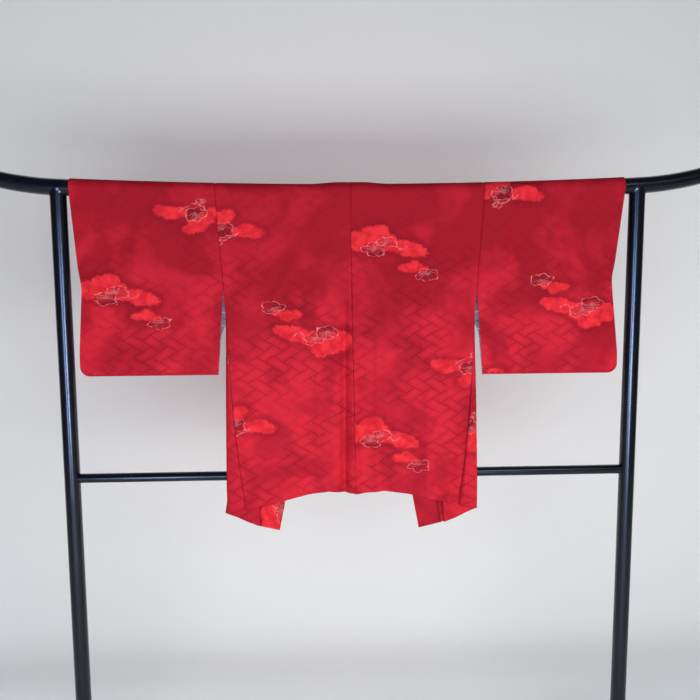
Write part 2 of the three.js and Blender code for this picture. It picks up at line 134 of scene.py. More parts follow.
def bar_height(x):
    """Height of the bar's centre at x."""
    past = np.maximum(0.0, np.abs(x) - POST_X)
    return BAR_HEIGHT - BAR_SAG * (1.0 - (x / POST_X) ** 2) + BAR_UPTURN * past**2


def finish_piece(bm, name, materials, nodes, sharp=35.0):
    """Makes a named piece of a bmesh drawn in millimetres, which stands for CAD nodes."""
    bmesh.ops.scale(bm, vec=(MM, MM, MM), verts=bm.verts)
    mesh = bpy.data.meshes.new(name)
    bm.to_mesh(mesh)
    bm.free()
    mesh.shade_smooth()
    mesh.set_sharp_from_angle(angle=math.radians(sharp))
    for material in materials:
        mesh.materials.append(material)
    piece = bpy.data.objects.new(name, mesh)
    bpy.context.scene.collection.objects.link(piece)
    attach(piece, "root")
    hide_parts(*nodes)
    return piece


bm = bmesh.new()
bar_end = Matrix.Translation((-BAR_HALF, 0, 0)) @ Matrix.Rotation(math.pi / 2, 4, "Y")
bmesh.ops.create_circle(bm, segments=56, radius=TUBE_RADIUS, matrix=bar_end)
edges = list(bm.edges)
for _ in range(BAR_STEPS):
    made = bmesh.ops.extrude_edge_only(bm, edges=edges)["geom"]
    new_verts = [g for g in made if isinstance(g, bmesh.types.BMVert)]
    bmesh.ops.translate(bm, vec=(2 * BAR_HALF / BAR_STEPS, 0, 0), verts=new_verts)
    edges = [g for g in made if isinstance(g, bmesh.types.BMEdge)]
bmesh.ops.holes_fill(bm, edges=bm.edges, sides=60)
for vertex in bm.verts:
    vertex.co.z += float(bar_height(vertex.co.x))
bmesh.ops.recalc_face_normals(bm, faces=bm.faces)
finish_piece(bm, "stand_top_bar", [stove_enamel], ["top_bar"])

bar_slope = float(bar_height(BAR_HALF) - bar_height(BAR_HALF - 1.0))
for side, sign in SIDES.items():
    bm = bmesh.new()
    bmesh.ops.create_uvsphere(bm, u_segments=48, v_segments=24, radius=TUBE_RADIUS)
    ball = [*bm.verts, *bm.edges, *bm.faces]
    bmesh.ops.bisect_plane(bm, geom=ball, plane_co=(0, 0, 0), plane_no=(0, 0, 1), clear_inner=True)
    bmesh.ops.holes_fill(bm, edges=bm.edges, sides=60)
    bmesh.ops.scale(bm, vec=(1, 1, PLUG_DOME / TUBE_RADIUS), verts=bm.verts)
    turn = Matrix.Rotation(sign * (math.pi / 2 - math.atan(bar_slope)), 4, "Y")
    end = Matrix.Translation((sign * (BAR_HALF + GAP), 0, float(bar_height(BAR_HALF)) + GAP * bar_slope))
    bmesh.ops.transform(bm, matrix=end @ turn, verts=bm.verts)
    bmesh.ops.recalc_face_normals(bm, faces=bm.faces)
    finish_piece(bm, f"stand_bar_plug_{side}", [stove_enamel], [f"bar_plug_{side}"])

# ------------------------------------------------------------------------------------------------
# Posts, crossbar and feet: the same enamelled steel tube, coped to sit on each other and welded,
# with a small fillet of weld under the paint at each post's ends.
POST_RADIUS = 18.5
FOOT_Z = 29.0
FOOT_HALF = 260.0
CROSSBAR_Z = BAR_HEIGHT - 680.0
CROSSBAR_RADIUS = 11.0
SEAT_GAP = 0.2  # between a coped end and the tube it sits on
WELD = [(0.0, 1.3), (1.2, 0.7), (2.6, 0.25), (4.5, 0.0)]  # distance from the end and extra radius

for side, sign in SIDES.items():
    x = sign * POST_X
    bm = bmesh.new()
    bmesh.ops.create_circle(bm, segments=56, radius=POST_RADIUS)
    edges = list(bm.edges)
    stations = [(reach, extra, 0) for reach, extra in WELD]
    stations += [(reach, extra, 1) for reach, extra in reversed(WELD)]
    rings = [list(bm.verts)]
    for _ in stations[1:]:
        made = bmesh.ops.extrude_edge_only(bm, edges=edges)["geom"]
        edges = [g for g in made if isinstance(g, bmesh.types.BMEdge)]
        rings.append([g for g in made if isinstance(g, bmesh.types.BMVert)])
    for verts, (reach, extra, top) in zip(rings, stations):
        for vertex in verts:
            flat = vertex.co.xy.normalized() * (POST_RADIUS + extra)
            off_tube = flat.y if top else flat.x
            seat = math.sqrt(max(4.0, (TUBE_RADIUS + SEAT_GAP) ** 2 - off_tube**2)) + reach
            seat = float(bar_height(x)) - seat if top else FOOT_Z + seat
            vertex.co = (x + flat.x, flat.y, seat)
    bmesh.ops.holes_fill(bm, edges=bm.edges, sides=60)
    bmesh.ops.recalc_face_normals(bm, faces=bm.faces)
    finish_piece(bm, f"stand_post_{side}", [stove_enamel], [f"post_{side}"], 50.0)

    bm = bmesh.new()
    along_foot = Matrix.Rotation(math.pi / 2, 4, "X")
    bmesh.ops.create_uvsphere(bm, u_segments=48, v_segments=25, radius=TUBE_RADIUS, matrix=along_foot)
    for vertex in bm.verts:
        vertex.co.y += math.copysign(FOOT_HALF - TUBE_RADIUS, vertex.co.y)
    bmesh.ops.translate(bm, vec=(x, 0, FOOT_Z), verts=bm.verts)
    finish_piece(bm, f"stand_foot_{side}", [stove_enamel], [f"foot_{side}"])

bm = bmesh.new()
along_bar = Matrix.Rotation(math.pi / 2, 4, "Y")
rod = {"segments": 48, "radius1": CROSSBAR_RADIUS, "radius2": CROSSBAR_RADIUS, "depth": 2.0}
bmesh.ops.create_cone(bm, cap_ends=True, matrix=along_bar, **rod)
for vertex in bm.verts:
    seat = POST_X - math.sqrt((POST_RADIUS + SEAT_GAP) ** 2 - vertex.co.y**2)
    vertex.co.x = math.copysign(seat, vertex.co.x)
bmesh.ops.translate(bm, vec=(0, 0, CROSSBAR_Z), verts=bm.verts)
finish_piece(bm, "stand_crossbar", [stove_enamel], ["crossbar"])

# ------------------------------------------------------------------------------------------------
# Floor pads: short plugs of moulded black rubber under each end of each foot, matt and a little
# grey where they scuff.
PAD_RADIUS = 16.0
PAD_HEIGHT = 17.0
PAD_ROUNDING = 1.2
PAD_Y = 226.0

pad_rubber, add = new_material("moulded_black_rubber")
place = add("TexCoord").outputs["Object"]
grain = add("TexNoise", {"Vector": place, "Scale": 900.0, "Detail": 2.0})
scuff = add("TexNoise", {"Vector": place, "Scale": 60.0, "Detail": 4.0})
rubber = {
    "Base Color": add("Mix", [scuff, hex_colour("#161616"), hex_colour("#2C2C2B")], data_type="RGBA"),
    "Roughness": 0.78,
    "Normal": add("Bump", {"Height": grain, "Strength": 0.25, "Distance": 0.0003}),
}
add("OutputMaterial", [add("BsdfPrincipled", rubber)])

for side, sign in SIDES.items():
    for end, towards in {"back": -1.0, "front": 1.0}.items():
        bm = bmesh.new()
        plug = {"segments": 48, "radius1": PAD_RADIUS, "radius2": PAD_RADIUS, "depth": PAD_HEIGHT}
        bmesh.ops.create_cone(bm, cap_ends=True, matrix=Matrix.Translation((0, 0, PAD_HEIGHT / 2)), **plug)
        rim = [e for e in bm.edges if all(v.co.z < 0.1 for v in e.verts)]
        rounding = {"offset": PAD_ROUNDING, "segments": 3, "profile": 0.5, "material": -1}
        bmesh.ops.bevel(bm, geom=rim, affect="EDGES", **rounding)
        for vertex in bm.verts:
            if vertex.co.z > PAD_HEIGHT - 1.0:
                under_foot = FOOT_Z - math.sqrt((TUBE_RADIUS + GAP) ** 2 - vertex.co.x**2)
                vertex.co.z = min(PAD_HEIGHT, under_foot)
        bmesh.ops.translate(bm, vec=(sign * POST_X, towards * PAD_Y, 0), verts=bm.verts)
        finish_piece(bm, f"stand_pad_{side}_{end}", [pad_rubber], [f"pad_{side}_{end}"])

# ------------------------------------------------------------------------------------------------
# Outer silk: kinsha, a fine crepe silk, dyed red in soft drifts and hand painted. It gives a matt
# surface with a low sheen. The drawing is a fence lattice in thin dark lines, lobed clouds in a
# brighter red, and plum blossoms in a pale outline over a dark ground.
EASED = {"interpolation_type": "SMOOTHSTEP"}


def fence_lines(add, across, along):
    """Strips of a cypress-bark fence, 21 mm wide and 48 mm long, plaited at 31 degrees."""
    u = add("Math", [across, 0.041], operation="DIVIDE")
    v = add("Math", [along, 0.0252], operation="DIVIDE")
    p = add("Math", [u, v], operation="ADD")
    q = add("Math", [u, v], operation="SUBTRACT")
    p_cell = add("Math", [p], operation="FLOOR")
    q_cell = add("Math", [q], operation="FLOOR")
    cell = add("Math", [p_cell, q_cell], operation="SUBTRACT")
    step = add("Math", [cell, 4.0], operation="FLOORED_MODULO")
    rises = add("Math", [step, 1.5], operation="LESS_THAN")

    # How far a point lies inside a strip that rises, and inside one that falls.
    along_rise = add("Math", [step, add("Math", [p], operation="FRACT")], operation="ADD")
    rise_end = add("Math", [along_rise, 1.0], operation="PINGPONG")
    rise_side = add("Math", [q, 0.5], operation="PINGPONG")
    rise = add("Math", [rise_side, rise_end], operation="MINIMUM")
    steps_left = add("Math", [3.0, step], operation="SUBTRACT")
    along_fall = add("Math", [steps_left, add("Math", [q], operation="FRACT")], operation="ADD")
    fall_end = add("Math", [along_fall, 1.0], operation="PINGPONG")
    fall_side = add("Math", [p, 0.5], operation="PINGPONG")
    fall = add("Math", [fall_side, fall_end], operation="MINIMUM")
    inside = add("Mix", [rises, fall, rise], data_type="FLOAT")

    line = add("MapRange", [inside, 0.0, 0.15, 0.95, 0.0], **EASED)
    from_inner = add("Math", [add("Math", [inside, 0.27], operation="SUBTRACT")], operation="ABSOLUTE")
    inner = add("MapRange", [from_inner, 0.02, 0.09, 0.24, 0.0], **EASED)
    shade = add("MapRange", [inside, 0.0, 0.42, 0.24, 0.0], **EASED)
    faint = add("Math", [inner, shade], operation="MAXIMUM")
    return add("Math", [line, faint], operation="MAXIMUM")


def blossom_marks(add, attribute, waver):
    """Masks of one hand-drawn plum blossom: its outline, its dark ground, and its stamens.
    The attribute holds the place inside the blossom, in petal lengths, and how dark its ground is."""
    place = add("Attribute", attribute_type="GEOMETRY", attribute_name=attribute).outputs["Vector"]
    part_x, part_z, darkness = add("SeparateXYZ", [place]).outputs
    waver_x = add("Math", [waver[0], 0.7, -0.35], operation="MULTIPLY_ADD")
    waver_z = add("Math", [waver[1], 0.7, -0.35], operation="MULTIPLY_ADD")
    x = add("Math", [part_x, waver_x], operation="ADD")
    z = add("Math", [part_z, waver_z], operation="ADD")

    # Turns round the middle, and the distance from it, which is a little uneven.
    turn = add("Math", [add("Math", [x, z], operation="ARCTAN2"), 2 * math.pi], operation="DIVIDE")
    lobes = add("Math", [turn, 12.57, 1.0], operation="MULTIPLY_ADD")
    uneven = add("Math", [add("Math", [lobes], operation="SINE"), 0.14, 1.0], operation="MULTIPLY_ADD")
    x_squared = add("Math", [x, x], operation="MULTIPLY")
    z_squared = add("Math", [z, z], operation="MULTIPLY")
    squares = add("Math", [x_squared, z_squared], operation="ADD")
    away = add("Math", [squares], operation="SQRT")
    reach = add("Math", [uneven, away], operation="MULTIPLY")

    # Five round petals and the round middle.
    petal_turn = add("Math", [add("Math", [turn, 5.0], operation="MULTIPLY"), 0.5], operation="PINGPONG")
    from_petal = add("Math", [petal_turn, 2 * math.pi / 5], operation="MULTIPLY")
    along = add("Math", [reach, add("Math", [from_petal], operation="COSINE")], operation="MULTIPLY")
    out = add("Math", [along, 0.56], operation="SUBTRACT")
    aside = add("Math", [reach, add("Math", [from_petal], operation="SINE")], operation="MULTIPLY")
    out_squared = add("Math", [out, out], operation="MULTIPLY")
    aside_squared = add("Math", [aside, aside], operation="MULTIPLY")
    squares = add("Math", [out_squared, aside_squared], operation="ADD")
    petal = add("Math", [add("Math", [squares], operation="SQRT"), 0.42], operation="SUBTRACT")
    middle = add("Math", [reach, 0.66], operation="SUBTRACT")
    shape = add("Math", [petal, middle], operation="MINIMUM")

    present = add("MapRange", [darkness, 0.0, 0.2], **EASED)
    edge = add("Math", [shape], operation="ABSOLUTE")
    edge = add("MapRange", [edge, 0.012, 0.062, 1.0, 0.0], **EASED)
    outline = add("Math", [edge, present], operation="MULTIPLY")
    inside = add("MapRange", [shape, -0.04, 0.03, 1.0, 0.0], **EASED)
    lower = add("MapRange", [z, -0.3, 0.8, 1.0, 0.3], **EASED)
    ground = add("Math", [add("Math", [inside, lower], operation="MULTIPLY"), darkness], operation="MULTIPLY")

    # Stamens: a fan of stalks over a small heart.
    spoke = add("Math", [add("Math", [turn, 12.0], operation="MULTIPLY"), 0.5], operation="PINGPONG")
    spoke = add("Math", [spoke, reach], operation="MULTIPLY")
    above = add("MapRange", [z, -0.15, 0.1], **EASED)
    near = add("MapRange", [reach, 0.62, 0.72, 1.0, 0.0], **EASED)
    fan = add("Math", [above, near], operation="MULTIPLY")
    stalk = add("MapRange", [spoke, 0.03, 0.1, 1.0, 0.0], **EASED)
    stalk = add("Math", [stalk, fan], operation="MULTIPLY")
    heart = add("MapRange", [reach, 0.1, 0.22, 0.8, 0.0], **EASED)
    stamens = add("Math", [stalk, heart], operation="MAXIMUM")
    return outline, ground, add("Math", [stamens, present], operation="MULTIPLY")


crepe_silk, add = new_material("kinsha_crepe_silk")
cloth_map = add("UVMap", uv_map="cloth")
spot = add("SeparateXYZ", [cloth_map]).outputs

# Dye drifts about 120 mm across, and smaller ones inside them.
drift = {"Vector": cloth_map, "Scale": 7.0, "Detail": 3.0, "Roughness": 0.55, "Distortion": 0.5}
drift = add("MapRange", [add("TexNoise", drift), 0.35, 0.65], **EASED)
# Darker towards the shoulders and lighter lower down: partly the dye, partly painted shade for the light from
# low in front.
from_top = add("Math", [spot[1]], operation="ABSOLUTE")
dye_and_painted_shade_by_height = add("MapRange", [from_top, 0.0, 0.5, -0.6, 0.3], **EASED)
drift = add("Math", [drift, dye_and_painted_shade_by_height], operation="ADD")
small_drift = add("TexNoise", {"Vector": cloth_map, "Scale": 17.0, "Detail": 4.0, "Roughness": 0.62})
small_drift = add("MapRange", [small_drift, 0.47, 0.75, 0.0, 0.38], **EASED)
ground = add("Mix", [drift, hex_colour("#9C1626"), hex_colour("#C82435")], data_type="RGBA")
ground = add("Mix", [small_drift, ground, hex_colour("#86101E")], data_type="RGBA")

# Fence lattice, a little out of line as a hand draws it, which comes and goes in the drifts.
FENCE_PULL = 0.009
showing = add("TexNoise", {"Vector": cloth_map, "Scale": 9.0, "Detail": 2.0})
showing = add("MapRange", [showing, 0.36, 0.62, 0.12, 0.7], **EASED)
low_down = add("MapRange", [from_top, 0.04, 0.36, 0.4, 1.0], **EASED)
pulled = add("TexNoise", {"Vector": cloth_map, "Scale": 22.0, "Detail": 1.0}).outputs["Color"]
pulled = add("SeparateColor", [pulled]).outputs
drawn = []
for i in (0, 1):
    pull = add("Math", [pulled[i], FENCE_PULL, -FENCE_PULL / 2], operation="MULTIPLY_ADD")
    drawn.append(add("Math", [spot[i], pull], operation="ADD"))
lattice = add("Math", [fence_lines(add, *drawn), showing], operation="MULTIPLY")
lattice = add("Math", [lattice, low_down], operation="MULTIPLY")
ground = add("Mix", [lattice, ground, hex_colour("#740C1B")], data_type="RGBA")

# Clouds, washed in two reds inside a ragged edge, with a dark shade round them.
cloud = add("Attribute", attribute_type="GEOMETRY", attribute_name="cloud").outputs["Fac"]
ragged = add("TexNoise", {"Vector": cloth_map, "Scale": 110.0, "Detail": 2.0})
ragged = add("MapRange", [ragged, 0.3, 0.7, -1.8, 1.8], **EASED)
cloud = add("Math", [cloud, ragged], operation="ADD")
round_cloud = add("MapRange", [cloud, 0.0, 17.0, 0.5, 0.0], **EASED)
ground = add("Mix", [round_cloud, ground, hex_colour("#7E0F1D")], data_type="RGBA")
wash = add("TexNoise", {"Vector": cloth_map, "Scale": 45.0, "Detail": 2.0})
wash = add("MapRange", [wash, 0.35, 0.65], **EASED)
wash = add("Mix", [wash, hex_colour("#CC212E"), hex_colour("#E5333C")], data_type="RGBA")
in_cloud = add("MapRange", [cloud, -3.8, 2.2, 0.92, 0.0], **EASED)
ground = add("Mix", [in_cloud, ground, wash], data_type="RGBA")

# Blossoms: the companion lies behind the main one.
worn = add("TexNoise", {"Vector": cloth_map, "Scale": 130.0, "Detail": 1.0})
worn = add("MapRange", [worn, 0.36, 0.56, 0.12, 0.72], **EASED)
waver = add("TexNoise", {"Vector": cloth_map, "Scale": 62.0, "Detail": 1.0}).outputs["Color"]
waver = add("SeparateColor", [waver]).outputs
for attribute in ("companion", "blossom"):
    outline, dark, stamens = blossom_marks(add, attribute, waver)
    dark = add("Math", [dark, 0.55], operation="MULTIPLY")
    stamens = add("Math", [stamens, 0.5], operation="MULTIPLY")
    outline = add("Math", [outline, worn], operation="MULTIPLY")
    for share, colour in ((dark, "#630E1C"), (stamens, "#B0828A"), (outline, "#E8858D")):
        ground = add("Mix", [share, ground, hex_colour(colour)], data_type="RGBA")

# Curls: thin pale loops that run from a blossom's outline.
curl = add("Attribute", attribute_type="GEOMETRY", attribute_name="curl").outputs["Fac"]
curl = add("MapRange", [curl, 0.9, 2.5, 0.75, 0.0], **EASED)
curl = add("Math", [curl, worn], operation="MULTIPLY")
ground = add("Mix", [curl, ground, hex_colour("#E8858D")], data_type="RGBA")

# Seams: the stitched edge turns in, and the darker line along it is painted shade for the seam's groove.
seam = add("Attribute", attribute_type="GEOMETRY", attribute_name="seam").outputs["Fac"]
seam = add("MapRange", [seam, 0.2, 1.7, 0.5, 0.0], **EASED)
ground = add("Mix", [seam, ground, hex_colour("#4E0914")], data_type="RGBA")

# Crepe grain: real pebbles are 0.4 mm across, and are drawn at 1.6 mm so that they show.
crush = add("TexNoise", {"Vector": cloth_map, "Scale": 34.0, "Detail": 3.0})
crush = add("Bump", {"Height": crush, "Strength": 0.3, "Distance": 0.003})
pebble = add("TexNoise", {"Vector": cloth_map, "Scale": 620.0, "Detail": 2.0, "Roughness": 0.7})
pebble = add("Bump", {"Height": pebble, "Normal": crush, "Strength": 0.22, "Distance": 0.0006})
silk = {
    "Base Color": ground,
    "Roughness": 0.72,
    "Specular IOR Level": 0.05,
    "Sheen Weight": 0.05,
    "Sheen Roughness": 0.4,
    "Sheen Tint": hex_colour("#FF5A60"),
    "Normal": pebble,
}
add("OutputMaterial", [add("BsdfPrincipled", silk)])

# ------------------------------------------------------------------------------------------------
# Lining: thin plain-woven silk in a pale lavender grey, with a sparse print of fine dark and white
# lines. It is smoother and has more shine than the crepe.
lining_silk, add = new_material("habotai_lining_silk")
cloth_map = add("UVMap", uv_map="cloth")
weft = add("TexNoise", {"Vector": cloth_map, "Scale": 900.0, "Detail": 1.0})
waves = {"Vector": cloth_map, "Scale": 9.0, "Distortion": 5.0, "Detail": 1.0, "Detail Scale": 1.6}
waves = add("TexWave", waves, wave_type="BANDS", bands_direction="Y").outputs["Fac"]
dark_line = add("MapRange", [waves, 0.03, 0.0, 0.0, 0.7], **EASED)
white_line = add("MapRange", [waves, 0.975, 1.0, 0.0, 0.8], **EASED)
printed = add("Mix", [dark_line, hex_colour("#8D879E"), hex_colour("#35323F")], data_type="RGBA")
lining = {
    "Base Color": add("Mix", [white_line, printed, hex_colour("#ECEAF0")], data_type="RGBA"),
    "Roughness": 0.45,
    "Sheen Weight": 0.2,
    "Sheen Roughness": 0.4,
    "Normal": add("Bump", {"Height": weft, "Strength": 0.12, "Distance": 0.0004}),
}
add("OutputMaterial", [add("BsdfPrincipled", lining)])

# ------------------------------------------------------------------------------------------------
# The painted group: one large cloud with a tail, a small cloud below its tail, and three plum
# blossoms. It is drawn either way up. All sizes are on the cloth, from the large cloud's middle.
WHOLE_GROUP = {
    "clouds": [
        {"x": -32, "z": -2, "half": 21, "tall": 24},
        {"x": 0, "z": 9, "half": 27, "tall": 23},
        {"x": 21, "z": 12, "half": 24, "tall": 25},
        {"x": 41, "z": -6, "half": 23, "tall": 21},
        {"x": 7, "z": -14, "half": 32, "tall": 18},
        {"x": 62, "z": -14, "half": 22, "tall": 16},
        {"x": 84, "z": -20, "half": 24, "tall": 19},
        {"x": 103, "z": -24, "half": 20, "tall": 17},
        {"x": 119, "z": -29, "half": 14, "tall": 11},
        {"x": 80, "z": -64, "half": 17, "tall": 11},
        {"x": 100, "z": -61, "half": 18, "tall": 14},
        {"x": 120, "z": -69, "half": 15, "tall": 10},
    ],
    "blossoms": [
        {"drawn": "blossom", "x": 7, "z": -22, "reach": 25, "tall": 0.74, "turn": 12, "dark": 1.0},
        {"drawn": "companion", "x": 34, "z": -9, "reach": 26, "tall": 0.66, "turn": 40, "dark": 0.4},
        {"drawn": "blossom", "x": 131, "z": -81, "reach": 25, "tall": 0.72, "turn": 24, "dark": 0.28},
    ],
    "curls": [[(58, -14), (66, -22), (78, -20), (84, -14)]],
}
# The shorter group lies along a side seam: a slanting cloud, one blossom with a curl, and a tail.
SIDE_GROUP = {
    "clouds": [
        {"x": -44, "z": -4, "half": 19, "tall": 12},
        {"x": -24, "z": 9, "half": 22, "tall": 16},
        {"x": -3, "z": 25, "half": 24, "tall": 17},
        {"x": 13, "z": 34, "half": 17, "tall": 13},
        {"x": 34, "z": -4, "half": 18, "tall": 13},
        {"x": 55, "z": -2, "half": 26, "tall": 16},
        {"x": 74, "z": -8, "half": 22, "tall": 13},
    ],
    "blossoms": [{"drawn": "blossom", "x": 0, "z": 0, "reach": 24, "tall": 0.8, "turn": 20, "dark": 0.75}],
    "curls": [
        [(-24, -6), (-20, -16), (-10, -19), (-3, -24), (-2, -31), (-9, -35), (-15, -31), (-13, -25)],
        [(-13, -25), (-6, -23), (6, -23), (14, -17), (26, -14), (36, -6)],
        [(-15, -31), (-21, -33), (-23, -27), (-18, -23), (-13, -25)],
    ],
}
FRONT_START = -38.0  # a front's place on the cloth is this less its level


def draw_groups(mesh, groups):
    """Writes each point's distance to the nearest cloud and curl, and its place in the nearest blossoms."""
    count = len(mesh.vertices)
    place = np.zeros(count * 2)
    mesh.attributes["cloth_place"].data.foreach_get("vector", place)
    x, down = place.reshape(-1, 2).T
    cloud, curl = np.full(count, 60.0), np.full(count, 20.0)
    near = {"blossom": np.full(count, 9.0), "companion": np.full(count, 9.0)}
    spots = {drawn: np.tile([9.0, 9.0, 0.0], (count, 1)) for drawn in near}
    for group in groups:
        way = -1.0 if group.get("turned") else 1.0
        local_x = way * (x - group["x"]) / group.get("narrow", 1.0)
        local_z = -way * (down - group["down"])
        if "size" in group:
            shape = np.hypot(local_x / group["size"], local_z / (group["size"] * 0.7))
            cloud = np.minimum(cloud, (shape - 1.0) * group["size"] * 0.7)
            continue
        drawing = SIDE_GROUP if group.get("side") else WHOLE_GROUP
        for lobe in drawing["clouds"]:
            shape = np.hypot((local_x - lobe["x"]) / lobe["half"], (local_z - lobe["z"]) / lobe["tall"])
            cloud = np.minimum(cloud, (shape - 1.0) * min(lobe["half"], lobe["tall"]))
        for line in drawing["curls"]:
            for (ax, az), (bx, bz) in zip(line, line[1:]):
                run_x, run_z = bx - ax, bz - az
                share = ((local_x - ax) * run_x + (local_z - az) * run_z) / (run_x**2 + run_z**2)
                share = np.clip(share, 0.0, 1.0)
                curl = np.minimum(curl, np.hypot(local_x - mix(ax, bx, share), local_z - mix(az, bz, share)))
        for blossom in drawing["blossoms"]:
            turn = math.radians(blossom["turn"])
            from_x = (local_x - blossom["x"]) / blossom["reach"]
            from_z = (local_z - blossom["z"]) / (blossom["reach"] * blossom["tall"])
            petal_x = from_x * math.cos(turn) + from_z * math.sin(turn)
            petal_z = from_z * math.cos(turn) - from_x * math.sin(turn)
            away = np.hypot(petal_x, petal_z)
            closer = away < near[blossom["drawn"]]
            near[blossom["drawn"]][closer] = away[closer]
            dark = np.where(away < 1.7, blossom["dark"], 0.0)
            spots[blossom["drawn"]][closer] = np.stack([petal_x, petal_z, dark], axis=1)[closer]
    mesh.attributes.new("cloud", "FLOAT", "POINT").data.foreach_set("value", cloud.astype(np.float32))
    mesh.attributes.new("curl", "FLOAT", "POINT").data.foreach_set("value", curl.astype(np.float32))
    for drawn, values in spots.items():
        values = values.astype(np.float32).ravel()
        mesh.attributes.new(drawn, "FLOAT_VECTOR", "POINT").data.foreach_set("vector", values)


# ------------------------------------------------------------------------------------------------
# Body panels: each is one length of silk from the back hem over the bar to the front hem. The two
# meet in the centre back seam, and each front hangs in one deep pleat that widens towards its hem.
# The sizes are levels below the bar's height over the posts, and half widths from the middle.
CLOTH = 1.1
SEAM_ROLL, SEAM_REACH = 1.4, 1.7  # how deep cloth turns in at a seam, and over what width
WRAP = 20.5  # middle of the cloth around the bar
OVER_BAR = 32.0  # cloth from the top of the bar to its front
SHIFT = -4.0
BAR_LEVEL, ARMHOLE_END, GUSSET_TOP = 13.0, 235.0, 300.0  # bar inside the jacket, sleeve seam, gusset
SHOULDER_HALF, ARMHOLE_HALF, GUSSET_TOP_HALF = 309.0, 295.5, 290.5
BACK_HEM_HALF, GUSSET_FRONT_HALF = 250.0, 290.0
NECK_HALF, NECK_LIFT = 87.0, 4.0
FRONT_WIDTH_TOP, FRONT_WIDTH_HEM, FRONT_HEM_LEVEL = 222.0, 230.0, 795.0
PLEAT_BEND, PLEAT_MIDDLE = 0.024, 0.49
PLEAT_SHARE = {"left": 0.366, "right": 0.334}
BACK_HEM = {"out": [0, 65, 135, 205, 250], "level": [719, 713, 724, 738, 746]}
FRONT_HEM = {"share": [0, 0.31, 0.67, 1], "level": [758, 790, 762, 796]}
DEPTHS = {
    "level": [13, 235, 300, 655, 800],
    "centre": [-20.5, -22, -24, -33, -36],
    "side": [-20.5, -11.5, -15, -52, -56],
    "front": [20.5, 11.5, 4, -40, -43.5],
}
BACK_FOLDS = {
    "left": [
        {"x": -14, "drift": -6, "top": 240, "foot": 719, "half": 12, "depth": -8},
        {"x": -92, "drift": 2, "top": 330, "foot": 640, "half": 22, "depth": -2.5},
    ],
    "right": [
        {"x": 10, "drift": 4, "top": 260, "foot": 719, "half": 11, "depth": 4},
        {"x": 62, "drift": -4, "top": 260, "foot": 719, "half": 14, "depth": 3},
        {"x": 176, "drift": -2, "top": 300, "foot": 730, "half": 14, "depth": 3},
        {"x": 270, "drift": -20, "top": 400, "foot": 745, "half": 16, "depth": -9},
    ],
}

# Creases: from one end to the other, with the half width and how far each stands out. A pressed
# crease has a sharp back, and the others are round.
BACK_CREASES = [
    {"x": 2, "level": 205, "end_x": 6, "end_level": 770, "half": 10, "out": 2.6, "pressed": True},
    {"x": -20, "level": 230, "end_x": -22, "end_level": 760, "half": 8, "out": -4.4},
    {"x": -84, "level": 350, "end_x": -87, "end_level": 650, "half": 7, "out": 1.3, "pressed": True},
    {"x": -146, "level": 495, "end_x": -148, "end_level": 610, "half": 6, "out": 1.0, "pressed": True},
    {"x": 56, "level": 255, "end_x": 54, "end_level": 715, "half": 8, "out": 1.5, "pressed": True},
    {"x": 173, "level": 370, "end_x": 174, "end_level": 732, "half": 8, "out": 1.5, "pressed": True},
    {"x": -120, "level": 150, "end_x": -192, "end_level": 265, "half": 9, "out": 1.8},
    {"x": -228, "level": 228, "end_x": -262, "end_level": 280, "half": 7, "out": 1.2},
    {"x": -200, "level": 22, "end_x": -236, "end_level": 70, "half": 7, "out": 1.0},
    {"x": 215, "level": 24, "end_x": 240, "end_level": 75, "half": 7, "out": 1.0},
    {"x": 175, "level": 85, "end_x": 232, "end_level": 130, "half": 8, "out": 1.2},
    {"x": 14, "level": 20, "end_x": 58, "end_level": 52, "half": 6, "out": 1.0},
    {"x": 18, "level": 34, "end_x": 72, "end_level": 84, "half": 6, "out": -0.8},
    {"x": 196, "level": 742, "end_x": 236, "end_level": 684, "half": 7, "out": -3.0},
    {"x": 34, "level": 62, "end_x": 104, "end_level": 118, "half": 7, "out": 0.9},
    {"x": -30, "level": 40, "end_x": -96, "end_level": 96, "half": 7, "out": 0.9},
    {"x": 96, "level": 250, "end_x": 168, "end_level": 218, "half": 7, "out": 0.9},
    {"x": -60, "level": 420, "end_x": -112, "end_level": 505, "half": 9, "out": 1.1},
    {"x": 92, "level": 470, "end_x": 140, "end_level": 560, "half": 9, "out": -1.1},
    {"x": -40, "level": 60, "end_x": -48, "end_level": 300, "half": 16, "out": 0.9},
    {"x": 130, "level": 60, "end_x": 120, "end_level": 330, "half": 18, "out": 0.9},
]
FRONT_CREASES = [
    {"x": -250, "level": 60, "end_x": -262, "end_level": 330, "half": 14, "out": 1.5},
    {"x": -120, "level": 40, "end_x": -175, "end_level": 190, "half": 10, "out": 1.8},
    {"x": 120, "level": 40, "end_x": 170, "end_level": 200, "half": 10, "out": 1.8},
    {"x": 238, "level": 70, "end_x": 250, "end_level": 350, "half": 14, "out": 1.5},
    {"x": -230, "level": 380, "end_x": -238, "end_level": 640, "half": 8, "out": 1.2, "pressed": True},
    {"x": 222, "level": 360, "end_x": 228, "end_level": 620, "half": 8, "out": 1.2, "pressed": True},
]


def smooth(low, high, value):
    share = np.clip((value - low) / (high - low), 0.0, 1.0)
    return share * share * (3.0 - 2.0 * share)


def mix(low, high, share):
    return low + (high - low) * share


def row_height(x, row, levels):
    """Height of a row of cloth that hangs from the bar at x and ends at the last level."""
    heights = [bar_height(x)] + [BAR_HEIGHT - level + 0.0 * x for level in levels]
    step = min(len(heights) - 2, int(row))
    return mix(heights[step], heights[step + 1], row - step)


def body_level(row, foot):
    levels = [BAR_LEVEL, ARMHOLE_END, GUSSET_TOP, foot]
    step = min(2, int(row))
    return mix(levels[step], levels[step + 1], row - step)


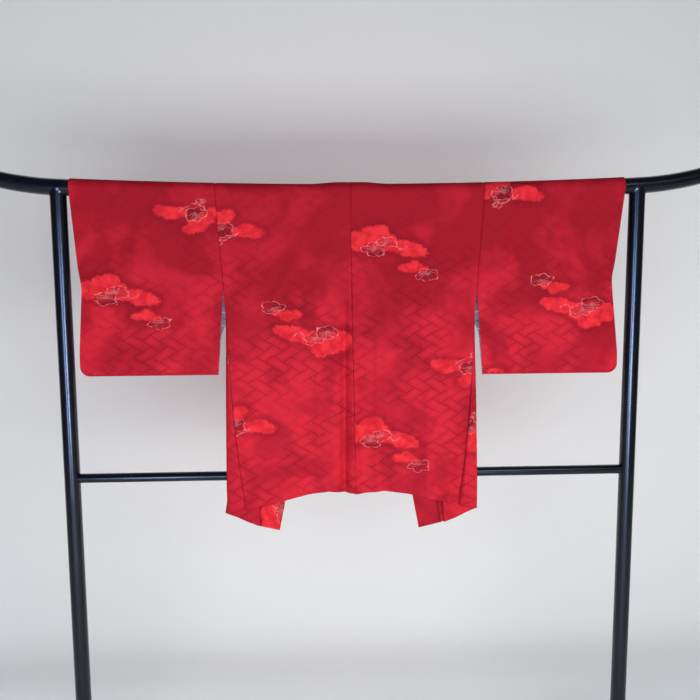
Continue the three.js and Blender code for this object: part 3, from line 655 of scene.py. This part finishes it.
def side_half(row, hem_half, curve):
    """Half width of a panel's side edge, which leaves the armhole and runs down the gusset's seam."""
    if row <= 1:
        return mix(SHOULDER_HALF, ARMHOLE_HALF, max(0.0, row))
    if row <= 2:
        return mix(ARMHOLE_HALF, GUSSET_TOP_HALF, row - 1)
    down = row - 2
    return mix(GUSSET_TOP_HALF, hem_half, (1 - curve) * down + curve * down * down)


def crease_relief(creases, x, level):
    """How far a set of creases lifts the cloth at each place."""
    relief = np.zeros(np.shape(x))
    for crease in creases:
        run_x, run_down = crease["end_x"] - crease["x"], crease["end_level"] - crease["level"]
        length = math.hypot(run_x, run_down)
        along = ((x - crease["x"]) * run_x + (level - crease["level"]) * run_down) / length**2
        aside = ((x - crease["x"]) * run_down - (level - crease["level"]) * run_x) / length
        faded = smooth(-0.05, 0.2, along) * (1.0 - smooth(0.8, 1.05, along))
        reach = np.abs(aside) / crease["half"]
        shape = np.exp(-reach) if crease.get("pressed") else np.exp(-(reach**2))
        relief = relief + 2.0 * crease["out"] * faded * shape
    return relief


def sway(x, level, phase):
    """Slow uneven waves in hanging cloth, none at the bar and stronger towards the hem."""
    waves = 1.3 * np.sin(x / 19.0 + level / 190.0 + phase)
    waves = waves + 2.0 * np.sin(x / 37.0 - level / 130.0 + 2.1 * phase)
    waves = waves + 0.5 * np.sin(x / 9.5 + level / 75.0 + 0.7 * phase)
    return waves * smooth(40.0, 260.0, level) * (0.5 + level / 900.0)


def seam_spread(width, count):
    """Shares of a width that crowd into the last few millimetres at each seam."""
    near = np.array([0.0, 0.6, 1.3, 2.1, 3.2, 5.0]) / width
    inner = np.linspace(near[-1], 1.0 - near[-1], count - 2 * (len(near) - 1))
    return np.concatenate([near[:-1], inner, 1.0 - near[:-1][::-1]])


def back_row(side, columns, row):
    """One row of a back: its points and their levels."""
    sign = SIDES[side]
    half = side_half(row, BACK_HEM_HALF, 0.55)
    nominal = body_level(row, BACK_HEM["level"][0])
    seam_x = SHIFT + 9.0 * (max(0.0, nominal) / 719.0) ** 2
    x = mix(SHIFT + sign * half, seam_x, columns)
    foot = np.interp(np.abs(x - seam_x), BACK_HEM["out"], BACK_HEM["level"])
    z = row_height(x, row, [ARMHOLE_END, GUSSET_TOP, foot])
    level = BAR_HEIGHT - z
    towards_side = (np.abs(x - SHIFT) / half) ** 3
    centre_y, side_y = (np.interp(level, DEPTHS["level"], DEPTHS[place]) for place in ("centre", "side"))
    y = mix(centre_y, side_y, towards_side)
    for fold in BACK_FOLDS["left"] + BACK_FOLDS["right"]:
        down = smooth(fold["top"], fold["foot"], level)
        reach = (x - SHIFT - fold["x"] - fold["drift"] * down) / fold["half"]
        y = y - fold["depth"] * down * np.exp(-reach * reach)
    from_side = columns * half
    y = y - crease_relief(BACK_CREASES, x, level) * smooth(0.0, 8.0, from_side)
    belly = 3.0 * smooth(80.0, 180.0, np.abs(x)) * smooth(300.0, 500.0, level)
    y = y - smooth(0.0, 25.0, from_side) * (sway(x, level, 0.4) + belly)
    return np.stack([x, y, z], axis=1)


def pleat(side, row):
    """How far down a row is, the pleat's middle layer, and how far it turns."""
    down = (body_level(row, FRONT_HEM_LEVEL) - BAR_LEVEL) / (FRONT_HEM_LEVEL - BAR_LEVEL)
    taken = 2 * PLEAT_SHARE[side] * down
    layer = PLEAT_SHARE[side] * down + 2.1 * PLEAT_BEND * (1 - down) ** 2
    return down, layer, math.acos(max(-0.995, 1 - taken / layer))


def front_columns(columns, layer):
    first, second = PLEAT_MIDDLE - layer / 2, PLEAT_MIDDLE + layer / 2
    knots = [0, first - PLEAT_BEND, first + PLEAT_BEND, second - PLEAT_BEND, second + PLEAT_BEND, 1]
    return np.interp(columns, [0, 0.24, 0.37, 0.5, 0.63, 1], knots)


def front_row(side, columns, row):
    """One row of a front, from its side edge through the pleat to the collar seam."""
    sign = SIDES[side]
    down, layer, turn = pleat(side, row)
    shares = front_columns(columns, layer)
    width = mix(FRONT_WIDTH_TOP, FRONT_WIDTH_HEM, down)
    middle = (shares[1:] + shares[:-1]) / 2
    into = (middle - (PLEAT_MIDDLE - layer / 2)) / (2 * PLEAT_BEND) + 0.5
    out_of = ((PLEAT_MIDDLE + layer / 2) - middle) / (2 * PLEAT_BEND) + 0.5
    angle = turn * smooth(0.0, 1.0, np.minimum(into, out_of))
    step = np.diff(shares) * width
    half = side_half(row, GUSSET_FRONT_HALF, 0.0) - np.concatenate([[0.0], np.cumsum(step * np.cos(angle))])
    level = body_level(row, FRONT_HEM["level"][0])
    into_pleat = np.concatenate([[0.0], np.cumsum(step * np.sin(angle))])
    y = float(np.interp(level, DEPTHS["level"], DEPTHS["front"])) + into_pleat
    x = SHIFT + sign * half
    foot = np.interp(shares, FRONT_HEM["share"], FRONT_HEM["level"])
    z = row_height(x, row, [ARMHOLE_END, GUSSET_TOP, foot])
    return np.stack([x, y, z], axis=1), shares


def on_bar(x, angle, radius):
    """A point of cloth on the bar: angle 0 is the top, -90 the back and 90 the front."""
    turn = math.radians(angle)
    raised = NECK_LIFT * (1.0 - smooth(30.0, 85.0, np.abs(x - SHIFT))) * max(0.0, math.cos(turn))
    reach = radius + raised
    return np.stack([x, reach * math.sin(turn), bar_height(x) + reach * math.cos(turn)], axis=1)


def neck_half(angle):
    return 0.0 if angle < 0 else NECK_HALF * math.sqrt(max(0.0, 1.0 - ((90.0 - angle) / 90.0) ** 2))


def settle(rows, passes):
    """Evens out the corners that a hanging length has at its tabled levels; its two ends stay."""
    for _ in range(passes):
        rows[1:-1] = 0.5 * rows[1:-1] + 0.25 * (rows[:-2] + rows[2:])
    return rows


def cloth_grid(rows, places, seams):
    """A mesh of rows of points, with each point's place on the cloth and its distance to a seam."""
    row_count, column_count = rows.shape[:2]
    bm = bmesh.new()
    bmesh.ops.create_grid(bm, x_segments=column_count - 1, y_segments=row_count - 1, size=0.5)
    place_layer = bm.verts.layers.float_vector.new("cloth_spot")
    for vertex in bm.verts:
        i = round((vertex.co.y + 0.5) * (row_count - 1))
        j = round((vertex.co.x + 0.5) * (column_count - 1))
        vertex[place_layer] = (places[i, j, 0], places[i, j, 1], seams[i, j])
        vertex.co = Vector(rows[i, j]) * MM
    return bm, place_layer


def sewn_shell(bm, place_layer, name, outwards, groups, nodes, thickness=CLOTH, lined=True, facing=None):
    """Turns a draped grid into a shell: seams rolled in, a lining inside, and the painted groups."""
    bmesh.ops.recalc_face_normals(bm, faces=bm.faces)
    sample = max(bm.faces, key=lambda f: f.calc_area())
    if sample.normal.dot(outwards(sample.calc_center_median())) < 0:
        bmesh.ops.reverse_faces(bm, faces=bm.faces)
    bm.normal_update()
    moves = [(v, v.normal.copy(), v[place_layer].z) for v in bm.verts]
    for vertex, normal, seam in moves:
        vertex.co -= normal * (SEAM_ROLL * MM * math.exp(-((seam / SEAM_REACH) ** 2)))
    cloth_uv = bm.loops.layers.uv.new("cloth")
    for face in bm.faces:
        face.smooth = True
        for loop in face.loops:
            spot = loop.vert[place_layer]
            loop[cloth_uv].uv = (spot.x * MM, spot.y * MM)
        if facing is not None and facing(face):
            face.material_index = 2
    mesh = bpy.data.meshes.new(name)
    bm.to_mesh(mesh)
    bm.free()
    count = len(mesh.vertices)
    spots = np.zeros(count * 3)
    mesh.attributes["cloth_spot"].data.foreach_get("vector", spots)
    spots = spots.reshape(-1, 3)
    mesh.attributes.new("cloth_place", "FLOAT2", "POINT").data.foreach_set("vector", spots[:, :2].ravel())
    mesh.attributes.new("seam", "FLOAT", "POINT").data.foreach_set("value", spots[:, 2].copy())
    draw_groups(mesh, groups)
    inner = lining_silk if lined else crepe_silk
    for material in (crepe_silk, inner, crepe_silk, crepe_silk):
        mesh.materials.append(material)
    piece = bpy.data.objects.new(name, mesh)
    bpy.context.scene.collection.objects.link(piece)
    shell = piece.modifiers.new("cloth", "SOLIDIFY")
    shell.thickness = thickness * MM
    shell.offset = 0.0
    shell.material_offset = 1
    shell.use_even_offset = False
    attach(piece, "root")
    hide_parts(*nodes)
    return piece


HANG_ROWS = np.concatenate([np.linspace(0, 1, 64)[1:], np.linspace(1, 2, 20)[1:], np.linspace(2, 3, 132)[1:]])
BAR_ANGLES = np.linspace(-90, 90, 19)
OVER_DOWN = BAR_LEVEL - OVER_BAR * (1.0 + BAR_ANGLES / 90.0)  # places on the cloth over the bar
PANEL_WIDTH, FRONT_WIDTH = 300.0, 225.0
BODY_COLUMNS = seam_spread(PANEL_WIDTH, 94)
FACING_TOP = BAR_HEIGHT - 545.0  # outer silk is turned up inside the hem as far as here

BODY_GROUPS = {
    "left": [
        {"x": -296, "down": 98, "side": True},
        {"x": -54, "down": 357, "turned": True},
        {"x": -277, "down": 549, "side": True},
        {"x": -192, "down": 764, "size": 26},
        {"x": -210, "down": FRONT_START - 150, "turned": True},
        {"x": -270, "down": FRONT_START - 420},
        {"x": -90, "down": FRONT_START - 640, "turned": True},
    ],
    "right": [
        {"x": 42, "down": 123},
        {"x": 274, "down": 420, "turned": True, "side": True},
        {"x": 32, "down": 571, "narrow": 0.92},
        {"x": 170, "down": FRONT_START - 130},
        {"x": 280, "down": FRONT_START - 400, "turned": True},
        {"x": 150, "down": FRONT_START - 650},
    ],
}


def body_outwards(point):
    return Vector((0, point.y + 0.01, 0.2 * point.z - 0.25)) if point.y > 0 else Vector((0, -1, 0))


body_edges = {}
for side, sign in SIDES.items():
    back = settle(np.array([back_row(side, BODY_COLUMNS, row) for row in [0.0, *HANG_ROWS]]), 14)
    front_made = [front_row(side, BODY_COLUMNS, row) for row in [0.0, *HANG_ROWS]]
    front = settle(np.array([made[0] for made in front_made]), 14)
    front_shares = np.array([made[1] for made in front_made])
    front_level = BAR_HEIGHT - front[:, :, 2]
    from_edge = np.minimum(BODY_COLUMNS, 1.0 - BODY_COLUMNS) * FRONT_WIDTH
    in_pleat = 1.0 - smooth(0.16, 0.24, BODY_COLUMNS) * (1.0 - smooth(0.63, 0.72, BODY_COLUMNS))
    relief = crease_relief(FRONT_CREASES, front[:, :, 0], front_level)
    relief = relief + 0.8 * sway(front[:, :, 0], front_level, 1.7)
    front[:, :, 1] += relief * smooth(0.0, 25.0, from_edge) * in_pleat

    over = []
    for angle in BAR_ANGLES:
        share = (angle + 90.0) / 180.0
        across = mix(BODY_COLUMNS, front_shares[0], share)
        x = mix(SHIFT + sign * SHOULDER_HALF, SHIFT + sign * neck_half(angle), across)
        over.append(on_bar(x, angle, WRAP))
    rows = np.concatenate([back[:0:-1], np.array(over), front[1:]])

    back_x = back[:0:-1, :, 0]
    back_down = BAR_HEIGHT - back[:0:-1, :, 2]
    over_down = np.repeat(OVER_DOWN[:, None], len(BODY_COLUMNS), axis=1)
    down = (front_level[1:] - BAR_LEVEL) / (FRONT_HEM_LEVEL - BAR_LEVEL)
    width = mix(FRONT_WIDTH_TOP, FRONT_WIDTH_HEM, down)
    front_x = SHIFT + sign * (SHOULDER_HALF - front_shares[1:] * width)
    place_x = np.concatenate([back_x, np.array(over)[:, :, 0], front_x])
    place_down = np.concatenate([back_down, over_down, FRONT_START - front_level[1:]])
    places = np.stack([place_x, place_down], axis=2)
    to_side = BODY_COLUMNS * PANEL_WIDTH
    to_middle = (1.0 - BODY_COLUMNS) * PANEL_WIDTH
    seams = np.tile(np.minimum(to_side, 1.6 * to_middle), (len(rows), 1))
    below_arm = np.concatenate([HANG_ROWS[::-1], np.zeros(len(BAR_ANGLES)), HANG_ROWS])
    open_edge = (below_arm > 1.0) & (below_arm < 2.0)
    seams[open_edge] = to_middle
    body_edges[side] = {"front": front, "back": back}

    bm, place_layer = cloth_grid(rows, places, seams)
    piece = sewn_shell(
        bm,
        place_layer,
        f"haori_body_{side}",
        body_outwards,
        BODY_GROUPS[side],
        [f"body_{side}"],
        facing=lambda face: face.calc_center_median().z < FACING_TOP * MM,
    )

# ------------------------------------------------------------------------------------------------
# Sleeves: each is one length folded at the bar, sewn to the body down to the armhole's end, open
# below that on the body's side, and sewn together at the wrist below the hand opening.
SLEEVE = {"level": [13, 235, 440], "inner": [309, 295.5, 313], "half": [20.5, 11.5, 3]}
SLEEVE_FOOT = {"left": 435.0, "right": 441.0}
SLEEVE_EDGE = {
    "left": {"level": [13, 231, 405], "out": [635, 621, 633]},
    "right": {"level": [13, 208, 418], "out": [637, 617, 638]},
}
SLEEVE_WIDTH = 320.0
SLEEVE_CORNER, SLEEVE_TURN, SLEEVE_CLOSE, SLEEVE_SEAM_HALF = 22.0, 2.5, 60.0, 0.95
SLEEVE_FACING = 605.0  # outer silk is turned in at the hand opening as far as here
ARMHOLE_SWING = 15.0  # how far the sleeve's front edge swings in behind the body below the armhole
SLEEVE_ROWS = np.concatenate([np.linspace(0, 1, 64)[1:], np.linspace(1, 2, 60)[1:]])
SLEEVE_CREASES = {
    "left": [
        {"x": -470, "level": 60, "end_x": -520, "end_level": 230, "half": 16, "out": 1.2},
        {"x": -345, "level": 40, "end_x": -372, "end_level": 190, "half": 12, "out": 1.2},
        {"x": -540, "level": 215, "end_x": -535, "end_level": 425, "half": 9, "out": 1.0, "pressed": True},
    ],
    "right": [
        {"x": 460, "level": 50, "end_x": 500, "end_level": 230, "half": 16, "out": 1.2},
        {"x": 340, "level": 60, "end_x": 362, "end_level": 210, "half": 12, "out": 1.2},
        {"x": 535, "level": 220, "end_x": 540, "end_level": 425, "half": 9, "out": 1.0, "pressed": True},
    ],
}
SLEEVE_GROUPS = {
    "left": [
        {"x": -357, "down": 62, "turned": True, "side": True},
        {"x": -577, "down": 231},
        {"x": -380, "down": FRONT_START - 120},
        {"x": -520, "down": FRONT_START - 330, "turned": True},
    ],
    "right": [
        {"x": 346, "down": 17, "side": True},
        {"x": 573, "down": 298, "turned": True},
        {"x": 339, "down": 444, "size": 26},
        {"x": 420, "down": FRONT_START - 180, "turned": True},
        {"x": 560, "down": FRONT_START - 330},
    ],
}


def sleeve_row(side, columns, row, face):
    """One row of the sleeve's layer that faces -Y, face -1, or +Y, face 1."""
    sign = SIDES[side]
    nominal = mix(BAR_LEVEL, ARMHOLE_END, row) if row <= 1 else mix(ARMHOLE_END, SLEEVE_FOOT[side], row - 1)
    inner = float(np.interp(nominal, SLEEVE["level"], SLEEVE["inner"]))
    swung = float(smooth(228.0, 262.0, nominal) * (1.0 - smooth(300.0, 345.0, nominal))) if face > 0 else 0.0
    inner -= ARMHOLE_SWING * swung
    outer = float(np.interp(nominal, SLEEVE_EDGE[side]["level"], SLEEVE_EDGE[side]["out"]))
    x = SHIFT + sign * mix(inner, outer, columns)
    to_edge = (1.0 - columns) * (outer - inner)
    across = np.maximum(0.0, SLEEVE_CORNER - to_edge)
    foot = SLEEVE_FOOT[side] - SLEEVE_CORNER + np.sqrt(SLEEVE_CORNER**2 - across**2) - SLEEVE_TURN
    z = row_height(x, row, [ARMHOLE_END, foot])
    closed = (1.0 - smooth(0.0, SLEEVE_CLOSE, to_edge)) * float(smooth(0.75, 1.0, row))
    half = mix(float(np.interp(nominal, SLEEVE["level"], SLEEVE["half"])), SLEEVE_SEAM_HALF, closed)
    level = BAR_HEIGHT - z
    to_body = columns * SLEEVE_WIDTH
    calm = smooth(0.0, 25.0, to_body) * smooth(0.0, 40.0, to_edge) * float(1.0 - 0.6 * smooth(1.2, 2.0, row))
    relief = crease_relief(SLEEVE_CREASES[side], x, level) + 0.7 * sway(x, level, 2.3 + face)
    y = face * (half + relief * calm) + 5.0 * swung * (1.0 - smooth(0.0, 40.0, to_body))
    return np.stack([x, y, z], axis=1)


SLEEVE_COLUMNS = seam_spread(SLEEVE_WIDTH, 88)
for side, sign in SIDES.items():
    layers = {}
    for face in (-1.0, 1.0):
        layer = np.array([sleeve_row(side, SLEEVE_COLUMNS, row, face) for row in [0.0, *SLEEVE_ROWS]])
        layers[face] = settle(layer, 10)
    over = []
    for angle in BAR_ANGLES:
        x = SHIFT + sign * mix(SHOULDER_HALF, SLEEVE_EDGE[side]["out"][0], SLEEVE_COLUMNS)
        over.append(on_bar(x, angle, WRAP))
    turned = []
    for turn in np.radians([25.0, 55.0, 90.0, 125.0, 155.0]):
        end = layers[1.0][-1].copy()
        end[:, 1] = end[:, 1] * math.cos(turn)
        end[:, 2] -= SLEEVE_TURN * math.sin(turn)
        turned.append(end)
    back = layers[-1.0][:0:-1]
    rows = np.concatenate([back, np.array(over), layers[1.0][1:], np.array(turned), back[:1]])
    levels = BAR_HEIGHT - rows[:, :, 2]
    over_down = np.repeat(OVER_DOWN[:, None], len(SLEEVE_COLUMNS), axis=1)
    down = np.concatenate([levels[: len(back)], over_down, FRONT_START - levels[len(back) + len(over) :]])
    places = np.stack([rows[:, :, 0], down], axis=2)
    seams = np.full(places.shape[:2], 40.0)
    upper = SLEEVE_ROWS <= 1.0
    sewn = np.concatenate([upper[::-1], np.ones(len(over), bool), upper, np.zeros(len(turned) + 1, bool)])
    seams[sewn] = SLEEVE_COLUMNS * SLEEVE_WIDTH
    bm, place_layer = cloth_grid(rows, places, seams)
    bmesh.ops.remove_doubles(bm, verts=bm.verts, dist=0.00002)
    piece = sewn_shell(
        bm,
        place_layer,
        f"haori_sleeve_{side}",
        lambda point: Vector((0, point.y, 0.3 if point.z > 1.48 else 0)),
        SLEEVE_GROUPS[side],
        [f"sleeve_{side}"],
        facing=lambda face: abs(face.calc_center_median().x) > SLEEVE_FACING * MM,
    )

# ------------------------------------------------------------------------------------------------
# Gussets: tapered strips sewn between the back and the front below the armhole, with their seams a
# little puckered. Each hangs in a soft loop that stands behind the back's edge.
GUSSET_EDGE = {"level": [300, 366, 500, 685, 758], "out": [292, 293.5, 296, 297, 295]}
GUSSET_SECTION = {
    "left": [(0.25, -57), (0.5, -58), (0.96, -54), (1.0, -48)],
    "right": [(0.1, -59), (0.75, -60), (0.97, -57), (1.0, -49)],
}
GUSSET_GROUPS = {
    "left": [{"x": -282, "down": 372, "side": True}],
    "right": [{"x": 303, "down": 560, "side": True, "turned": True}, {"x": 318, "down": 598, "size": 30}],
}
GUSSET_COLUMN = 2.3  # width of cloth from one column to the next, for the painting

for side, sign in SIDES.items():
    back, front = body_edges[side]["back"], body_edges[side]["front"]
    rows, seams = [], []
    for index, row in enumerate([0.0, *HANG_ROWS]):
        if row < 2:
            continue
        start, end = back[index, 0], front[index, 0]
        edge_out = np.interp(BAR_HEIGHT - start[2], GUSSET_EDGE["level"], GUSSET_EDGE["out"])
        outer = SHIFT + sign * float(edge_out)
        down = row - 2
        line = [start]
        for number, (out, y) in enumerate(GUSSET_SECTION[side]):
            share = (number + 1) / (len(GUSSET_SECTION[side]) + 1)
            x = mix(start[0], outer, mix(share, out, down))
            y = mix(mix(start[1], end[1], share), y, down**2)
            line.append([x, y, mix(start[2], end[2], share)])
        line.append(end)
        line = np.array(line)
        length = np.concatenate([[0.0], np.cumsum(np.linalg.norm(np.diff(line, axis=0), axis=1))])
        spread = seam_spread(max(12.0, length[-1]), 30) * length[-1]
        curve = np.stack([np.interp(spread, length, line[:, k]) for k in range(3)], axis=1)
        for _ in range(6):
            curve[1:-1] = 0.5 * curve[1:-1] + 0.25 * (curve[:-2] + curve[2:])
        rows.append(curve)
        seams.append(np.minimum(spread, length[-1] - spread))
    rows, seams = np.array(rows), np.array(seams)
    levels = BAR_HEIGHT - rows[:, :, 2]
    near_seam = np.exp(-((seams / 9.0) ** 2)) * smooth(0.0, 2.5, seams)
    rows[:, :, 1] -= 0.7 * np.sin(levels / 5.3 + 1.4 * np.sin(levels / 29.0)) * near_seam
    column = np.cumsum(np.ones_like(seams), axis=1) - 1
    places = np.stack([rows[0, 0, 0] + sign * column * GUSSET_COLUMN, levels], axis=2)
    bm, place_layer = cloth_grid(rows, places, seams)
    outward = Vector((sign, -0.6, 0))
    piece = sewn_shell(
        bm,
        place_layer,
        f"haori_gusset_{side}",
        lambda point: outward,
        GUSSET_GROUPS[side],
        [f"gusset_{side}"],
        facing=lambda face: face.calc_center_median().z < FACING_TOP * MM,
    )

# ------------------------------------------------------------------------------------------------
# Collar: one strip folded double round a cotton core, sewn to both fronts and round the neck. At
# the neck it lies over the front of the bar, and down the fronts it lies inwards.
COLLAR_WALL = 2.0
COLLAR_WIDTH = 55.0
COLLAR_WRAP = 21.1
NECK = {"angle": [0, 14, 32, 52, 72, 90], "free": [0, 26, 36, 43, 47, 49.5], "drop": [22, 24, 27, 31, 35, 40]}
SEAM_GAP = 0.4
COLLAR_COLUMNS = seam_spread(COLLAR_WIDTH, 24)
COLLAR_GROUPS = [
    {"x": 40, "down": 30},
    {"x": 520, "down": 24, "turned": True},
    {"x": 1160, "down": 30},
    {"x": 1640, "down": 40, "turned": True},
]

halves = {}
for side, sign in SIDES.items():
    rows = []
    quarter = COLLAR_WRAP * math.pi / 2
    for angle in np.linspace(0, 90, 40):
        free, drop = (float(np.interp(angle, NECK["angle"], NECK[column])) for column in ("free", "drop"))
        seam_path, seam_half = math.radians(angle) * COLLAR_WRAP, neck_half(angle)
        length = math.hypot(seam_half - free, quarter + drop - seam_path)
        shares = mix(SEAM_GAP / length, 1.0, COLLAR_COLUMNS)
        x = SHIFT + sign * mix(seam_half, free, shares)
        path = mix(seam_path, quarter + drop, shares)
        line = []
        for px, pp in zip(x, path):
            if pp < quarter:
                line.append(on_bar(np.array([px]), 90.0 * pp / quarter, COLLAR_WRAP)[0])
            else:
                line.append(np.array([px, COLLAR_WRAP, float(bar_height(px)) - (pp - quarter)]))
        rows.append(line)
    front = body_edges[side]["front"]
    for index, row in enumerate(HANG_ROWS):
        tilt = math.radians(14 + 33 * math.exp(-row / 0.3))
        inwards = np.array([-sign * math.cos(tilt), 0.03, -math.sin(tilt)])
        inwards = inwards / np.linalg.norm(inwards)
        seam_point = front[index + 1, -1]
        rows.append([seam_point + inwards * mix(SEAM_GAP, COLLAR_WIDTH, column) for column in COLLAR_COLUMNS])
    halves[side] = np.array(rows)
rows = np.concatenate([halves["left"][::-1], halves["right"][1:]])
rows = settle(rows, 6)
path = np.concatenate([[0.0], np.cumsum(np.linalg.norm(np.diff(rows[:, 0], axis=0), axis=1))])
seams = np.tile(COLLAR_COLUMNS * COLLAR_WIDTH, (len(rows), 1))
places = np.stack([np.repeat(path[:, None], rows.shape[1], axis=1), seams], axis=2)
bm, place_layer = cloth_grid(rows, places, seams)
collar = sewn_shell(
    bm,
    place_layer,
    "haori_collar",
    lambda point: Vector((0, 1, 0)),
    COLLAR_GROUPS,
    ["collar"],
    thickness=COLLAR_WALL,
    lined=False,
)

# ------------------------------------------------------------------------------------------------
# Floor and wall: a pale painted sweep, matt, with the wall 0.6 m past the stand, and a wider floor
# under it. The wall casts no shadow and is clear from behind, so that the part shows from there too.
FLOOR_RUN, BEND_RADIUS, SWEEP_RUN = 3.45, 0.15, 6.0
pale_paint, add = new_material("matt_wall_paint")
place = add("TexCoord").outputs["Object"]
roller = add("TexNoise", {"Vector": place, "Scale": 400.0, "Detail": 2.0})
roller = add("Bump", {"Height": roller, "Strength": 0.06, "Distance": 0.0005})
paint = add("BsdfPrincipled", {"Base Color": hex_colour("#E2E5E6"), "Roughness": 0.9, "Normal": roller})
from_behind = add("NewGeometry").outputs["Backfacing"]
add("OutputMaterial", [add("MixShader", [from_behind, paint, add("BsdfTransparent")])])

bm = bmesh.new()
bmesh.ops.create_grid(bm, x_segments=1, y_segments=40, size=1.0)
for vertex in bm.verts:
    run = (vertex.co.y + 1.0) * SWEEP_RUN / 2
    bend = min(1.0, max(0.0, (run - FLOOR_RUN) / (2 * BEND_RADIUS))) * math.pi / 2
    floor_y = -3.0 + min(run, FLOOR_RUN) + BEND_RADIUS * math.sin(bend)
    rise = BEND_RADIUS * (1.0 - math.cos(bend)) + 1.25 * max(0.0, run - FLOOR_RUN - 2 * BEND_RADIUS)
    vertex.co = (vertex.co.x * 3.5, floor_y, rise)
bm.normal_update()
bm.faces.ensure_lookup_table()
if bm.faces[0].normal.z < 0:
    bmesh.ops.reverse_faces(bm, faces=bm.faces)
mesh = bpy.data.meshes.new("studio_sweep")
bm.to_mesh(mesh)
bm.free()
mesh.shade_smooth()
mesh.materials.append(pale_paint)
sweep = bpy.data.objects.new("studio_sweep", mesh)
bpy.context.scene.collection.objects.link(sweep)
sweep.visible_shadow = False

bm = bmesh.new()
under_sweep = Matrix.Translation((0, 0.5, -0.0005))
bmesh.ops.create_grid(bm, x_segments=1, y_segments=1, size=3.5, matrix=under_sweep)
mesh = bpy.data.meshes.new("studio_floor")
bm.to_mesh(mesh)
bm.free()
mesh.materials.append(pale_paint)
floor = bpy.data.objects.new("studio_floor", mesh)
bpy.context.scene.collection.objects.link(floor)

# ------------------------------------------------------------------------------------------------
# Light: daylight thrown up from low in front, a bright room behind and in front, and low side light
# from the right. The window lamps only show as highlights on the tubes.
LIGHTS = [  # name, place, aim, width and height in metres, fan or a sun's angle, power, colour, kind
    ("low_bounce", (0.3, -2.2, 0.5), (0.1, 0.3, 0.65), (3.0, 0.8), 120, 20.5, "#FFFBF6", "room"),
    ("room_bounce", (-0.2, -3.4, 2.0), (0.0, 0.2, 1.3), (3.6, 2.0), 180, 54, "#F6FAFF", "room"),
    ("side_daylight", (2.6, -1.6, 1.2), (0.05, 0.0, 1.44), None, 38, 0.9, "#FFFCF6", "room"),
    ("far_room", (-0.8, 3.2, 1.7), (0.0, 0.0, 0.9), (3.0, 2.0), 180, 90, "#FBFBFF", "room"),
    ("window_glow", (-0.25, -3.0, 0.62), (-0.1, 0.0, 0.9), (2.2, 1.0), 180, 44, "#6FA0F0", "window"),
    ("window_pane_left", (-1.0, -2.8, 0.6), (-0.1, 0.0, 0.9), (0.3, 0.95), 180, 26, "#A9C8FF", "window"),
    ("window_pane_right", (0.5, -2.8, 0.6), (0.1, 0.0, 0.9), (0.3, 0.95), 180, 26, "#A9C8FF", "window"),
    ("window_gap", (0.15, -2.8, 0.5), (0.1, 0.0, 0.9), (0.12, 0.42), 180, 16, "#FFFFFF", "window"),
    ("upper_window", (1.0, -2.8, 2.5), (0.3, 0.0, 1.2), (1.2, 0.3), 180, 16, "#E8F0FF", "window"),
]
for name, at, aim, size, fan, power, colour, kind in LIGHTS:
    lamp = bpy.data.lights.new(name, "AREA" if size else "SUN")
    if size:
        lamp.shape = "RECTANGLE"
        lamp.size, lamp.size_y = size
        lamp.spread = math.radians(fan)
    else:
        lamp.angle = math.radians(fan)
    lamp.energy = power
    lamp.color = hex_colour(colour)[:3]
    lamp_object = bpy.data.objects.new(name, lamp)
    lamp_object.location = at
    lamp_object.rotation_euler = (Vector(aim) - Vector(at)).to_track_quat("-Z", "Y").to_euler()
    lamp_object.visible_camera = False
    lamp_object.visible_glossy = kind == "window"
    lamp_object.visible_diffuse = kind == "room"
    bpy.context.scene.collection.objects.link(lamp_object)

# The room's air gives a faint even light, and its far walls show past the sweep as a plain pale grey.
world = bpy.data.worlds.new("room")
world.use_nodes = True
world.node_tree.nodes.clear()
add = partial(add_node, world.node_tree)
air = add("Background", [hex_colour("#C9D3E2"), 0.1])
far_walls = add("Background", [hex_colour("#DEE2E6"), 0.85])
seen_directly = add("LightPath").outputs["Is Camera Ray"]
add("OutputWorld", [add("MixShader", [seen_directly, air, far_walls])])
bpy.context.scene.world = world
bpy.context.scene.view_settings.view_transform = "Standard"
